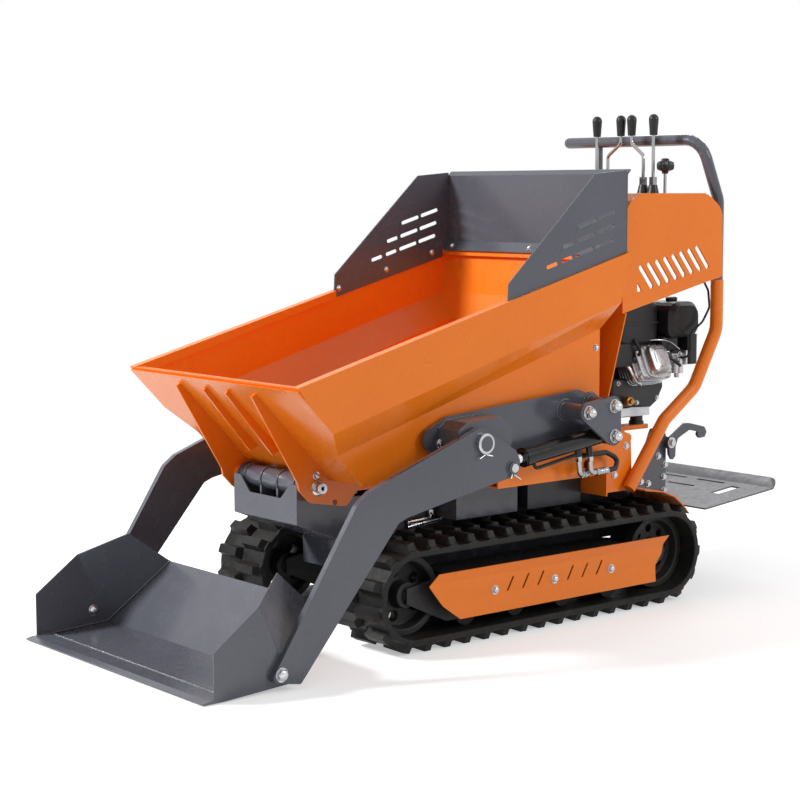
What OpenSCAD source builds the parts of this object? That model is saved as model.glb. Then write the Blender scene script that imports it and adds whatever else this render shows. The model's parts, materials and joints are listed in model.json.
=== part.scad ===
// Tracked mini dumper with a forward-tipping skip and a front loading shovel.
// X points forward, Y to the machine's left, Z up; millimetres; the ground is z = 0.

/* [Main sizes] */
// outer width of the shovel
bucket_width = 760; // [740:860]
// gap between the skip's lower walls and the loader's side plates
skip_side_gap = 10; // [6:30]
// how far the skip's rim stands out past its lower walls
skip_flare = 58; // [45:65]
// half width of the engine cowl
cowl_half = 291; // [286:310]
// front lip of the shovel, forward of the track centre
lip_x = 1051; // [1040:1100]
// rear edge of the platform
platform_rear_x = -960; // [-1000:-940]

/* [Tracks] */
// distance between the idler and sprocket centres
track_centres = 840; // [780:920]
// radius to the lug tips, also the axle height
track_tip_r = 130; // [124:134]
// lug height
lug_height = 20; // [10:24]
// belt thickness
belt_thick = 14; // [10:18]
// track width
track_width = 180; // [170:190]
// outer edge of the track from the centre line
track_outer_y = 325; // [320:335]
// links in one track
link_count = 39; // [36:42]
// width of one lug row
lug_row = 84; // [60:88]
// half width of the idler and sprocket hubs
wheel_half = 44; // [38:46]

/* [Skip] */
// skip hinge along the machine
hinge_x = 584; // [580:588]
// skip hinge height
hinge_z = 384; // [380:386]
// skip sheet thickness
skip_sheet = 4; // [3:6]
// front rim of the skip
rim_front_x = 774; // [770:790]
// height of the front rim
rim_front_z = 640; // [634:650]
// rear rim of the skip
rim_rear_x = -243; // [-248:-238]
// height of the rear rim
rim_rear_z = 909; // [900:920]
// underside of the skip floor
floor_z = 398; // [396:404]
// rear wall of the skip
rear_wall_x = -200; // [-204:-190]

/* [Loader] */
// arm pivot along the machine
arm_pivot_x = 288; // [284:292]
// arm pivot height
arm_pivot_z = 485; // [482:490]
// thickness of the arm plates
arm_thick = 15; // [10:18]
// rod pin on the arm
rod_pin_x = 198; // [194:202]
// rod pin height
rod_pin_z = 420; // [416:424]
// base pin of the lift cylinder
lift_base_x = -150; // [-154:-146]
// height of the lift base pin
lift_base_z = 464; // [460:468]
// outer radius of the lift cylinder
lift_r = 22; // [20:25]

/* [Tip cylinder] */
// base pin of the tip cylinder
tip_base_x = -60; // [-66:-54]
// height of the tip base pin
tip_base_z = 260; // [255:265]
// skip pin of the tip cylinder
tip_pin_x = 430; // [424:436]
// height of the skip pin
tip_pin_z = 354; // [350:358]

/* [Operator] */
// radius of the orange frame tubes
tube_r = 17; // [14:18]
// radius of the handlebar
bar_r = 15; // [12:16]
// handlebar along the machine
bar_x = -577; // [-590:-570]
// height of the handlebar
bar_z = 1190; // [1180:1200]
// top of the deck
deck_z = 1052; // [1046:1058]
// louvre slots in one cowl side
louvre_count = 8; // [6:8]
// louvre pitch
louvre_pitch = 30; // [28:32]

/* [Platform] */
// platform hinge along the machine
plat_hinge_x = -632; // [-636:-628]
// platform hinge height
plat_hinge_z = 209; // [206:212]
// half width of the platform
plat_half = 245; // [220:260]

/* [Output] */
// piece to build

/* [Hidden] */
$fn = 32;
x_shift = -(lip_x + platform_rear_x) / 2;
orange = [0.91, 0.42, 0.08];
grey = [0.3, 0.3, 0.33];
black = [0.08, 0.08, 0.09];
steel = [0.7, 0.7, 0.72];
pale = [0.6, 0.61, 0.64];

// across the machine: the loader's plates, the skip between them, the cowl
half_bucket = bucket_width / 2;
arm_in = half_bucket;
arm_out = half_bucket + arm_thick;
mount_in = half_bucket - 88;
mount_out = mount_in + 10;
house_out = half_bucket - 8;
tri_in = half_bucket - 6;
tri_out = half_bucket + 4;
cyl_y = half_bucket - 40;
cheek_out = mount_in;
cheek_in = cheek_out - 4;
skip_low_half = mount_in - skip_side_gap;
skip_half_width = skip_low_half + skip_flare;
rim_out = skip_half_width + 3;
guard_y = skip_half_width - 8.4;
panel_in = cowl_half - 4;
tube_y = panel_in - tube_r;
bay_in = tube_y - tube_r - 4;
bay_out = bay_in + 4;
rail_in = 62;
rail_out = 125;
nose_half = 127;
brk_in = 126;
brk_out = 134;

sprocket_x = -track_centres / 2;
idler_x = track_centres / 2;
axle_z = track_tip_r;
belt_out = track_tip_r - lug_height;
belt_in = belt_out - belt_thick;
track_mid_y = track_outer_y - track_width / 2;
path_len = 2 * track_centres + 2 * PI * belt_out;
link_pitch = path_len / link_count;
frame_in_y = track_mid_y - 55;
frame_out_y = track_mid_y + 55;
axle_r = 15;
roller_pitch = (track_centres - 360) / 3;
cover_y = track_outer_y - 7;
cover_bolts = [idler_x - 236, -12, sprocket_x + 212];
cover_bolt_z = 118;

apron_k = 0.965;
fold1_front_z = 533;
fold1_rear_z = 785;
fold2_front_z = 474;
fold2_rear_z = 717;
rim_slope = (rim_rear_z - rim_front_z) / (rim_front_x - rim_rear_x);
guard_gap = 0.6;
guard_front_x = 160;
guard_tuck = 20;
// slots of a side guard in the lowest row: middle along the machine and half length
guard_slots = [[-158, 31], [-91, 31], [-33, 19], [16, 19]];
guard_slope = 0.283;
guard_top_z = 1109;
toe_len = 40;
toe_rise = 62;

lift_dx = rod_pin_x - lift_base_x;
lift_dz = rod_pin_z - lift_base_z;
lift_len = norm([lift_dx, lift_dz]);
tip_dx = tip_pin_x - tip_base_x;
tip_dz = tip_pin_z - tip_base_z;
tip_len = norm([tip_dx, tip_dz]);

// holes in the frame's cheeks where the lift cylinder's hoses go in
hose_holes = [[-118, 410], [-150, 384]];
hose_r = 6.5;

// where the handlebar's leg stands on the left frame tube
leg_z = 826;

// engine: crank line, the leaning cylinder and the shelf that it stands on
crank_z = 545;
shelf_z = 436;
foot_z = 488;
case_rear_x = -580;
case_front_x = -372;
cylinder_at = [-516, 95, 577];
cylinder_lean = 25;
carb_at = [-568, 175, 618];
cleaner_front_x = -625;

// levers: where each rod leaves the deck and where its knob stands
lever_x = -500;
lever_base = [-30, 11, 140, 175];
lever_top = [-30, 58, 97, 175];
boot_h = 22;
clevis_h = 20;
knob_z = 1202;
star_y = 217;

function apron_x(z) = rim_front_x - (rim_front_z - 8 - z) * apron_k;
function rear_x(z) = z > fold2_rear_z
  ? rear_wall_x + (rim_rear_x - rear_wall_x) * (z - fold2_rear_z) / (rim_rear_z - fold2_rear_z)
  : rear_wall_x;
function rim_z(x) = rim_front_z + (rim_front_x - x) * rim_slope;

// outline of a hand knob: its radius rises and falls once for each lobe
function lobed(r, swell, lobes) = [for (i = [0 : 8 * lobes - 1]) let (a = i * 45 / lobes)
  (r + swell * cos(lobes * a)) * [cos(a), sin(a)]];

module at_frame() {
  translate([x_shift, 0, 0]) children();
}

module side(s) {
  if (s > 0) children();
  else mirror([0, 1, 0]) children();
}

module both() {
  children();
  mirror([0, 1, 0]) children();
}

module plate_y(y0, y1, pts) {
  translate([0, y1, 0]) rotate([90, 0, 0]) linear_extrude(y1 - y0) polygon(pts);
}

module plate_x(x0, x1, pts) {
  translate([x0, 0, 0]) rotate([90, 0, 90]) linear_extrude(x1 - x0) polygon(pts);
}

module rod_y(x, z, y0, y1, r) {
  translate([x, y1, z]) rotate([90, 0, 0]) cylinder(r = r, h = y1 - y0);
}

module rod_x(x0, x1, y, z, r) {
  translate([x0, y, z]) rotate([0, 90, 0]) cylinder(r = r, h = x1 - x0);
}

module rod_z(x, y, z0, z1, r) {
  translate([x, y, z0]) cylinder(r = r, h = z1 - z0);
}

module box(x0, x1, y0, y1, z0, z1) {
  translate([x0, y0, z0]) cube([x1 - x0, y1 - y0, z1 - z0]);
}

module conv(pts) {
  hull() polyhedron(points = pts, faces = [[for (i = [0 : len(pts) - 1]) i]]);
}

function unit(v) = v / norm(v);

// one corner of an outline; a third number is its radius, turned into an arc
function corner_arc(a, p, b, steps = 4) = let (o = [p[0], p[1]], r = len(p) > 2 ? p[2] : 0)
  r == 0 ? [o] : let (
    u = unit([a[0], a[1]] - o),
    v = unit([b[0], b[1]] - o),
    half = acos(u * v) / 2,
    c = o + unit(u + v) * r / sin(half),
    s = o + u * r / tan(half) - c,
    turn = (u[0] * v[1] - u[1] * v[0] > 0 ? -1 : 1) * (180 - 2 * half))
  [for (i = [0 : steps]) let (f = turn * i / steps)
    c + [s[0] * cos(f) - s[1] * sin(f), s[0] * sin(f) + s[1] * cos(f)]];

// an outline whose corners may carry a radius
function rounded(pts) = let (n = len(pts))
  [for (i = [0 : n - 1]) each corner_arc(pts[(i + n - 1) % n], pts[i], pts[(i + 1) % n])];

function rounded_box(x0, x1, y0, y1, r) = rounded([[x0, y0, r], [x1, y0, r], [x1, y1, r], [x0, y1, r]]);

// rounds one corner of a path: points and directions along an arc of radius bend, in steps
function arc_at(p, d0, d1, bend, steps) = let (
    a = acos(d0 * d1),
    start = p - d0 * bend * tan(a / 2),
    n = unit(d1 - d0 * (d0 * d1)))
  [for (i = [0 : steps]) let (f = a * i / steps)
    [start + d0 * bend * sin(f) + n * bend * (1 - cos(f)), d0 * cos(f) + n * sin(f)]];

// a path of corners becomes a list of points and directions with rounded corners
function round_path(pts, bend, steps) = let (
    last = len(pts) - 1,
    d = [for (i = [0 : last - 1]) unit(pts[i + 1] - pts[i])])
  concat([[pts[0], d[0]]],
    [for (i = [1 : last - 1]) each arc_at(pts[i], d[i - 1], d[i], bend, steps)],
    [[pts[last], d[last - 1]]]);

// round tube through corners, with bends and, if asked, a domed far end; up is never along the tube
module bent_tube(pts, r, bend, up, steps = 5, sides = 16, dome = false) {
  path = round_path(pts, bend, steps);
  tail = path[len(path) - 1];
  rings = concat([for (q = path) [q[0], q[1], r]],
    [if (dome) for (a = [30, 55, 75]) [tail[0] + tail[1] * r * sin(a), tail[1], r * cos(a)]]);
  n = len(rings);
  points = [for (q = rings) let (b = unit(cross(q[1], up)), c = cross(b, q[1]))
    for (k = [0 : sides - 1]) q[0] + q[2] * (b * cos(360 * k / sides) + c * sin(360 * k / sides))];
  walls = [for (i = [0 : n - 2]) for (k = [0 : sides - 1]) let (m = (k + 1) % sides)
    [i * sides + k, i * sides + m, (i + 1) * sides + m, (i + 1) * sides + k]];
  polyhedron(points = points, faces = concat(walls,
    [[for (k = [sides - 1 : -1 : 0]) k]], [[for (k = [0 : sides - 1]) (n - 1) * sides + k]]), convexity = 6);
}

module loop_2d(r) {
  hull() {
    translate([sprocket_x, axle_z]) circle(r = r, $fn = 48);
    translate([idler_x, axle_z]) circle(r = r, $fn = 48);
  }
}

// a lug at distance d along the outer face of the belt
module lug_at(d) {
  arc = PI * belt_out;
  s = d % path_len;
  if (s < track_centres)
    translate([sprocket_x + s, axle_z - belt_out]) rotate(180) lug_2d(false);
  else if (s < track_centres + arc)
    translate([idler_x, axle_z]) rotate((s - track_centres) / arc * 180 + 180)
      translate([0, belt_out]) lug_2d(true);
  else if (s < 2 * track_centres + arc)
    translate([idler_x - (s - track_centres - arc), axle_z + belt_out]) lug_2d(false);
  else
    translate([sprocket_x, axle_z]) rotate((s - 2 * track_centres - arc) / arc * 180)
      translate([0, belt_out]) lug_2d(true);
}

// a lug's side profile; on the bends its corners, not its middle, reach the tip radius
module lug_2d(bend) {
  tip = bend ? sqrt(track_tip_r * track_tip_r - 11 * 11) - belt_out : lug_height;
  polygon([[-17, -1], [17, -1], [11, tip], [-11, tip]]);
}

module lug_row_2d(offset_links) {
  for (i = [0 : link_count - 1]) lug_at((i + offset_links) * link_pitch);
}

module track(s) {
  color(black) at_frame() side(s) translate([0, track_outer_y, 0]) rotate([90, 0, 0]) {
    linear_extrude(track_width) difference() {
      loop_2d(belt_out);
      loop_2d(belt_in);
    }
    linear_extrude(lug_row) lug_row_2d(0.25);
    translate([0, 0, track_width - lug_row]) linear_extrude(lug_row) lug_row_2d(0.75);
  }
}

module track_frame(s) {
  long = idler_x + 10;
  short = idler_x - 110;
  wing = [[-long, axle_z - 18], [-short, axle_z - 74], [short, axle_z - 74], [long, axle_z - 18],
    [long, axle_z + 18], [short, axle_z + 36], [-short, axle_z + 36], [-long, axle_z + 18]];
  color(grey) at_frame() side(s) {
    plate_y(frame_in_y, frame_in_y + 8, wing);
    plate_y(frame_out_y - 8, frame_out_y, wing);
    box(10 - short, short - 10, frame_in_y + 8, frame_out_y - 8, axle_z - 26, axle_z + 36);
    for (x = [sprocket_x, idler_x]) rod_y(x, axle_z, frame_in_y + 8, frame_out_y - 8, axle_r);
    for (x = cover_bolts) rod_y(x, cover_bolt_z, frame_out_y, cover_y, 7);
  }
}

// a cast wheel turned about its axle: hub, dished web with holes, and rim
module wheel(x, holes, hole_at, hole_r) {
  rim = belt_in - 0.5;
  face = wheel_half - 4;
  half = [[axle_r + 0.3, wheel_half], [axle_r + 15, wheel_half], [axle_r + 19, 14], [rim - 22, 14],
    [rim - 16, face], [rim, face]];
  other = [for (i = [len(half) - 1 : -1 : 0]) [half[i][0], -half[i][1]]];
  translate([x, track_mid_y, axle_z]) rotate([90, 0, 0]) difference() {
    rotate_extrude() polygon(concat(half, other));
    for (i = [0 : holes - 1]) rotate(i * 360 / holes) translate([hole_at, 0, -20])
      cylinder(r = hole_r, h = 40);
  }
}

module idler(s) {
  color(black) at_frame() side(s) wheel(idler_x, 5, 54, 13);
}

module sprocket(s) {
  color(black) at_frame() side(s) wheel(sprocket_x, 8, 56, 10);
}

module rollers(s) {
  roller_r = 30;
  z = axle_z - belt_in + roller_r + 0.2;
  color(black) at_frame() side(s)
    for (i = [-1.5 : 1.5]) {
      rod_y(i * roller_pitch, z, frame_in_y + 10, frame_out_y - 10, roller_r);
      rod_y(i * roller_pitch, z, frame_in_y + 8, frame_out_y - 8, 12);
    }
}

// pressed cover: a flat band between two flared edges, with slanted slots
module track_cover(s) {
  low = 66;
  high = 180;
  fold_low = 107;
  fold_high = 155;
  flare = cover_y + 9;
  outline = [[idler_x - 55, high], [idler_x - 32, 152], [idler_x - 74, 100], [idler_x - 119, low],
    [sprocket_x + 58, low], [sprocket_x + 51, 105], [sprocket_x + 28, 134], [sprocket_x + 22, 160],
    [sprocket_x + 9, high]];
  first = idler_x - 286;
  color(orange) at_frame() side(s) difference() {
    intersection() {
      plate_x(sprocket_x, idler_x, [[flare, low], [flare + 3, low], [cover_y + 3, fold_low],
        [cover_y + 3, fold_high], [flare + 3, high], [flare, high], [cover_y, fold_high], [cover_y, fold_low]]);
      plate_y(cover_y - 8, flare + 8, outline);
    }
    for (i = [0, 1, 2, 4, 5, 6]) let (x = first - i * 50)
      plate_y(cover_y - 8, flare + 8, rounded([[x + 13, 110, 2], [x + 7, 110, 2], [x - 13, 144, 2], [x - 7, 144, 2]]));
  }
}

module main_frame() {
  rear = -480;
  front = 300;
  step = -218;
  color(grey) at_frame() {
    both() {
      plate_y(rail_in, rail_out, [[front, 150], [front, 353], [step, 353], [step, 296], [rear, 296], [rear, 150]]);
      box(5, 205, rail_out, 205, 272, 353);
      for (x = [-200, 200]) rod_y(x, axle_z, rail_out, frame_in_y, 24);
    }
    box(front, 420, -rail_out, rail_out, 150, 221);
    box(rear - 8, rear, -brk_out, brk_out, 150, 296);
    box(rear, rear + 40, -rail_in, rail_in, 150, 296);
    rod_y(tip_base_x, tip_base_z, -rail_in, rail_in, 10);
  }
}

// side boxes under the skip, closed by a lid with a folded edge
module side_box() {
  box(-215, -30, rail_out, 205, 272, 348);
  box(-218, -27, rail_out, 208, 348, 353);
}

module hydraulic_tank() {
  color(grey) at_frame() side_box();
}

module battery_box() {
  color(grey) at_frame() side(-1) side_box();
}

// nose: cheeks, a notched front plate and four eyes that carry the hinge tube
module front_hinge_bracket() {
  nose_x = 618;
  sole_x = 430;
  sole_z = 225;
  sole_slope = 0.4;
  sole_front = sole_z + (nose_x - sole_x) * sole_slope;
  eye_r = 29.5;
  cheek = [[nose_x, sole_front], [nose_x, 388], [600, 400], [566, 400], [546, 352], [300, 340], [300, sole_z],
    [sole_x, sole_z]];
  color(grey) at_frame() difference() {
    union() {
      plate_x(nose_x, nose_x + 4, [[-nose_half, sole_front], [nose_half, sole_front], [nose_half, 390], [100, 390],
        [62, 352], [-62, 352], [-100, 390], [-nose_half, 390]]);
      both() translate([0, nose_half, 0]) rotate([90, 0, 0]) linear_extrude(6) union() {
        polygon(cheek);
        translate([hinge_x, hinge_z]) circle(r = 30);
      }
      plate_y(-nose_half, nose_half, [[nose_x + 4, sole_front - 4], [nose_x + 4, sole_front], [nose_x, sole_front],
        [sole_x, sole_z], [300, sole_z], [300, sole_z - 4], [sole_x, sole_z - 4]]);
      both() box(300, 306, rail_in, nose_half - 6, sole_z, 335);
      rod_y(hinge_x, hinge_z, -nose_half + 3, nose_half - 3, 26);
      for (y = [-99, -33, 33, 99]) {
        rod_y(hinge_x, hinge_z, y - 3, y + 3, eye_r);
        box(hinge_x - 18, hinge_x + 26, y - 3, y + 3, 320, hinge_z);
      }
    }
    rod_y(hinge_x, hinge_z, -200, 200, 13.05);
  }
}

module upper_frame() {
  rear = -222;
  bay_rear = -352;
  wall_half = cowl_half + 1;
  color(orange) at_frame() {
    both() {
      box(-218, 150, 55, cheek_out, 353, 357);
      difference() {
        plate_y(cheek_in, cheek_out, [[150, 357], [150, 380], [115, 440], [-170, 440], [-218, 430], [-218, 357]]);
        for (p = hose_holes) rod_y(p[0], p[1], cheek_in - 1, cheek_out + 1, hose_r + 6);
      }
      plate_y(bay_in, bay_out, rounded([[rear, 300], [rear, 480], [-345, 440, 10], [bay_rear, 300]]));
      box(-560, bay_rear, 72, 112, shelf_z - 12, shelf_z);
      box(-470, -440, 72, 112, 296, shelf_z - 12);
    }
    box(bay_rear, rear, -bay_out, bay_out, 296, 300);
    box(bay_rear, -300, -bay_in, bay_in, shelf_z - 12, shelf_z);
    plate_y(-wall_half, wall_half, [[-218, 353], [-218, 540], [-281, 753], [-285, 753], [rear, 540], [rear, 296],
      [-218, 296]]);
  }
}

module loader_mount(s) {
  post_r = 19;
  posts = [[-60, 528], [-148, 538]];
  color(grey) at_frame() side(s) {
    plate_y(mount_in, mount_out, rounded([[388, 492, 8], [380, 512, 12], [314, 541, 20], [-110, 574, 14],
      [-140, 562, 10], [-150, 545], [-178, 545], [-178, 445], [-110, 440], [340, 440, 10], [382, 470, 10]]));
    plate_y(mount_out, house_out, [[345, 515], [320, 533], [215, 540], [176, 505], [182, 467], [345, 467]]);
    rod_y(arm_pivot_x, arm_pivot_z, house_out, arm_in - 0.4, 23);
    rod_y(arm_pivot_x, arm_pivot_z, arm_in - 0.4, arm_out + 13, 17);
    difference() {
      rod_y(arm_pivot_x, arm_pivot_z, arm_out + 0.4, arm_out + 7, 23);
      rod_y(arm_pivot_x, arm_pivot_z, arm_out, arm_out + 8, 17);
    }
    for (p = posts) {
      rod_y(p[0], p[1], mount_out, tri_in, post_r);
      rod_y(p[0], p[1], mount_out, mount_out + 8, post_r + 6);
    }
    rod_y(lift_base_x, lift_base_z, mount_out, tri_in, 12);
    translate([0, tri_out, 0]) rotate([90, 0, 0]) linear_extrude(tri_out - tri_in) hull() {
      for (p = concat(posts, [[lift_base_x, lift_base_z]])) translate(p) circle(r = 24);
    }
    rod_y(346, 481, mount_out, mount_out + 10, 10);
  }
}

module arm(s) {
  tip_x = lip_x - 189;
  color(grey) at_frame() side(s) {
    difference() {
      plate_y(arm_in, arm_out, rounded([[tip_x - 51, 11, 8], [tip_x + 28, 25, 12], [656, 381, 30], [622, 406, 20],
        [536, 438], [300, 521, 18], [281, 517, 12], [187, 460, 10], [174, 436, 10], [178, 408, 10], [196, 399, 8],
        [342, 372], [515, 338, 30], [540, 328, 12]]));
      rod_y(arm_pivot_x, arm_pivot_z, arm_in - 1, arm_out + 1, 17.05);
    }
    rod_y(rod_pin_x, rod_pin_z, arm_out, arm_out + 8, 15);
    rod_y(tip_x, 40, arm_out, arm_out + 10, 11);
  }
}

// left-hand corners of the scoop, outside; the corner plate through kink, peak, tail and fold is flat
scoop_fold = [lip_x - 227, half_bucket, 12];
scoop_kink = [lip_x - 142, half_bucket, 190];
scoop_tail = [lip_x - 341, half_bucket - 105, 163];
corner_n = cross(scoop_fold - scoop_kink, scoop_tail - scoop_kink);
peak_x = lip_x - 243;
peak_z = 240;
peak_in = (corner_n[0] * (peak_x - scoop_kink[0]) + corner_n[2] * (peak_z - scoop_kink[2])) / corner_n[1];
scoop_peak = [peak_x, half_bucket - peak_in, peak_z];
scoop_front_x = lip_x - 28;
scoop_side = [scoop_fold, [scoop_front_x - 23, half_bucket, 2], [scoop_front_x, half_bucket, 2],
  [scoop_front_x, half_bucket, 108], scoop_kink, scoop_peak, scoop_tail];
scoop_sheet = 4;
// one shift that moves the side, corner, back and bottom planes inwards by about the sheet
scoop_in = [0.6875, -1, 0.75] * scoop_sheet;

function mirrored(pts) = [for (p = pts) [p[0], -p[1], p[2]]];

module bucket() {
  ahead = [[lip_x + 60, half_bucket, 2] + scoop_in, [lip_x + 60, half_bucket, 108] + scoop_in];
  hollow = concat([for (p = scoop_side) p + scoop_in], ahead);
  sky = [lip_x - 101, 60, 900];
  color(grey) at_frame() {
    difference() {
      conv(concat(scoop_side, mirrored(scoop_side)));
      conv(concat(hollow, mirrored(hollow), [sky], mirrored([sky])));
    }
    plate_y(-half_bucket, half_bucket, [[lip_x, 2], [lip_x, 5], [lip_x - 17, 9], [lip_x - 66, 9], [lip_x - 66, 5],
      [scoop_front_x, 5], [scoop_front_x, 2]]);
  }
}

// cylinder barrel along +Z from its base eye, with a base cap and a gland at the rod's end
module barrel(len_end, r_out, r_in, r_eye, bore, half_eye) {
  difference() {
    union() {
      translate([0, 0, 14]) cylinder(r = r_out, h = len_end - 14);
      translate([0, 0, len_end - 28]) cylinder(r = r_out + 2, h = 24);
      rotate([90, 0, 0]) translate([0, 0, -half_eye]) cylinder(r = r_eye, h = 2 * half_eye);
    }
    translate([0, 0, 36]) cylinder(r = r_in, h = len_end);
    rotate([90, 0, 0]) translate([0, 0, -half_eye - 40]) cylinder(r = bore, h = 2 * half_eye + 80);
  }
}

lift_turn = atan2(lift_dx, lift_dz);
lift_end = lift_len - 80;
// the two ports: distance along the barrel and depth of the boss below its axis
lift_ports = [[46, 50], [84, 42]];

// a point given along the lift cylinder's axis and below it
function on_lift(along, below) = [lift_base_x + along * sin(lift_turn) + below * cos(lift_turn), cyl_y,
  lift_base_z + along * cos(lift_turn) - below * sin(lift_turn)];

module lift_barrel(s) {
  pipe_r = 4.5;
  pipe_drop = lift_r + 14;
  color(black) at_frame() side(s) {
    translate([lift_base_x, cyl_y, lift_base_z]) rotate([0, lift_turn, 0]) {
      barrel(lift_end, lift_r, 13.05, 22, 12.05, 20);
      for (p = lift_ports) translate([lift_r - 6, 0, p[0]]) rotate([0, 90, 0]) cylinder(r = 8.5, h = p[1] - lift_r + 6);
    }
    bent_tube([on_lift(lift_end - 40, lift_r - 5), on_lift(lift_end - 36, pipe_drop),
      on_lift(lift_ports[1][0] + 5, pipe_drop - 4)], pipe_r, 12, [0, 1, 0], 4, 10);
  }
}

// hydraulic hoses from the ports back to the frame's cheek
module lift_hose(s) {
  reach = cheek_out + 8;
  seat = 0.3;
  port0 = on_lift(lift_ports[0][0], lift_ports[0][1] + seat);
  port1 = on_lift(lift_ports[1][0], lift_ports[1][1] + seat);
  color(black) at_frame() side(s) {
    bent_tube([port0, on_lift(lift_ports[0][0], 88), [-200, cyl_y, 374], [-232, cyl_y - 22, 394], [-196, reach + 12, 412],
      [-126, reach + 12, 411], [hose_holes[0][0], reach, hose_holes[0][1]]], hose_r, 12, [0.1, 0.7, 0.7], 4, 10);
    bent_tube([port1, on_lift(lift_ports[1][0], 82), [-118, cyl_y - 18, 366], [hose_holes[1][0], reach, hose_holes[1][1]]],
      hose_r, 12, [0.1, 0.7, 0.7], 4, 10);
  }
}

module lift_rod(s) {
  color(steel) at_frame() side(s) translate([lift_base_x, cyl_y, lift_base_z])
    rotate([0, lift_turn, 0]) {
      translate([0, 0, 60]) cylinder(r = 13, h = lift_len - 70);
      translate([0, 18, lift_len]) rotate([90, 0, 0]) cylinder(r = 20, h = 36);
      translate([0, arm_in - cyl_y - 2, lift_len]) rotate([90, 0, 0]) cylinder(r = 10, h = 20);
    }
}

module tip_barrel() {
  color(black) at_frame() translate([tip_base_x, 0, tip_base_z])
    rotate([0, atan2(tip_dx, tip_dz), 0]) barrel(tip_len - 90, 28, 14.05, 24, 10.05, 22);
}

module tip_rod() {
  color(steel) at_frame() translate([tip_base_x, 0, tip_base_z])
    rotate([0, atan2(tip_dx, tip_dz), 0]) {
      translate([0, 0, 42]) cylinder(r = 14, h = tip_len - 52);
      translate([0, 18, tip_len]) rotate([90, 0, 0]) cylinder(r = 20, h = 36);
      translate([0, 27, tip_len]) rotate([90, 0, 0]) cylinder(r = 9, h = 54);
    }
}

// four corner points of one level of the tub: front and rear heights, half width and inset
function ring(zf, zr, w, t) = [
  [apron_x(zf) - 1.39 * t, w - t, zf], [apron_x(zf) - 1.39 * t, t - w, zf],
  [rear_x(zr) + t, w - t, zr], [rear_x(zr) + t, t - w, zr]];

// floor corners of the tub, with the chamfered toe at the rear kept t thick
function toe(w, t) = let (
    run = norm([toe_len, toe_rise]),
    top_z = floor_z + toe_rise + t * (run - toe_rise) / toe_len,
    low_x = rear_wall_x + toe_len + t * (run - toe_len) / toe_rise)
  concat(ring(floor_z + t, top_z, w, t), [[low_x, w - t, floor_z + t], [low_x, t - w, floor_z + t]]);

module tub_solid(t, up) {
  rf = rim_front_z - 8 + up;
  rr = rim_rear_z - 2 + up;
  conv(concat(ring(rf, rr, skip_half_width, t), ring(fold1_front_z, fold1_rear_z, skip_half_width, t)));
  conv(concat(ring(fold1_front_z, fold1_rear_z, skip_half_width, t), ring(fold2_front_z, fold2_rear_z, skip_low_half, t)));
  conv(concat(ring(fold2_front_z, fold2_rear_z, skip_low_half, t), toe(skip_low_half, t)));
}

module skip_tub() {
  front = [rim_front_x, rim_front_z];
  rear = [rim_rear_x, rim_rear_z];
  mid = [guard_front_x + 2, rim_z(guard_front_x + 2)];
  lip = [front, front + [-18, -19], mid, mid + [0, -20]];
  bar = [mid, mid + [0, -20], rear, rear + [4, -20]];
  inner_x = rim_rear_x + 20;
  color(orange) at_frame() {
    difference() {
      tub_solid(0, 0);
      tub_solid(skip_sheet, 30);
    }
    both() conv([for (y = [rim_out - 23, rim_out]) for (p = lip) [p[0], y, p[1]]]);
    both() conv([for (y = [skip_half_width - 3, rim_out]) for (p = bar) [p[0], y, p[1]]]);
    plate_y(-rim_out, rim_out, [front, front + [-22, 0], front + [-36, -21], front + [-19, -24]]);
    plate_y(-rim_out, rim_out, [rear, rear + [4, -20], rear + [24, -23], [inner_x, rim_z(inner_x)]]);
  }
}

module skip_ribs() {
  ax0 = apron_x(612);
  low = apron_x(462);
  color(orange) at_frame() {
    both() {
      plate_y(42, 48, [[ax0, 612], [low, 462], [low + 22, 452], [ax0 + 6, 604]]);
      difference() {
        plate_y(150, 156, rounded([[ax0, 612], [apron_x(floor_z), floor_z], [-80, floor_z], [-80, 380], [-50, 365],
          [470, 365], [500, 332, 12], [606, 350, 24], [636, 382, 16], [640, 400], [ax0 + 10, 606]]));
        rod_y(534, 345, 149, 157, 6.5);
      }
      plate_y(30, 38, [[tip_pin_x - 40, floor_z], [tip_pin_x + 40, floor_z], [tip_pin_x + 20, tip_pin_z - 16],
        [tip_pin_x - 20, tip_pin_z - 16]]);
      rod_y(hinge_x, hinge_z, 130, 150, 22);
    }
    rod_y(hinge_x, hinge_z, -176, 176, 13);
  }
}

module guard_plate(y0) {
  rear = rim_rear_x + 8;
  tuck_x = rim_rear_x + 30;
  step = [1, -guard_slope] / norm([1, guard_slope]);
  rise = [guard_slope, 1] / norm([1, guard_slope]);
  color(grey) at_frame() difference() {
    plate_y(y0, y0 + 4, [[guard_front_x, rim_z(guard_front_x) - guard_tuck], [guard_front_x - 3, 843], [-126, 1100],
      [rear, guard_top_z], [rear, rim_z(rear) + guard_gap], [tuck_x, rim_z(tuck_x) + guard_gap],
      [tuck_x, rim_z(tuck_x) - guard_tuck]]);
    for (row = [0 : 2]) for (k = [0 : 3 - row])
      let (slot = guard_slots[k], at = [slot[0] - 4 * row, 886.5 - guard_slope * slot[0] + 34.7 * row])
        plate_y(y0 - 1, y0 + 5, rounded([for (c = [[1, 1], [-1, 1], [-1, -1], [1, -1]])
          concat(at + c[0] * slot[1] * step + c[1] * 4.6 * rise, 4.4)]));
  }
}

// rear guard with its top edge folded back
module guard_back() {
  half = guard_y + 4;
  face = rim_rear_x + 8;
  low = rim_z(face - 4) + guard_gap;
  color(grey) at_frame() plate_y(-half, half, [[face, low], [face, guard_top_z - 9], [face - 12, guard_top_z + 3],
    [face - 15, guard_top_z], [face - 4, guard_top_z - 11], [face - 4, low]]);
}

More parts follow.
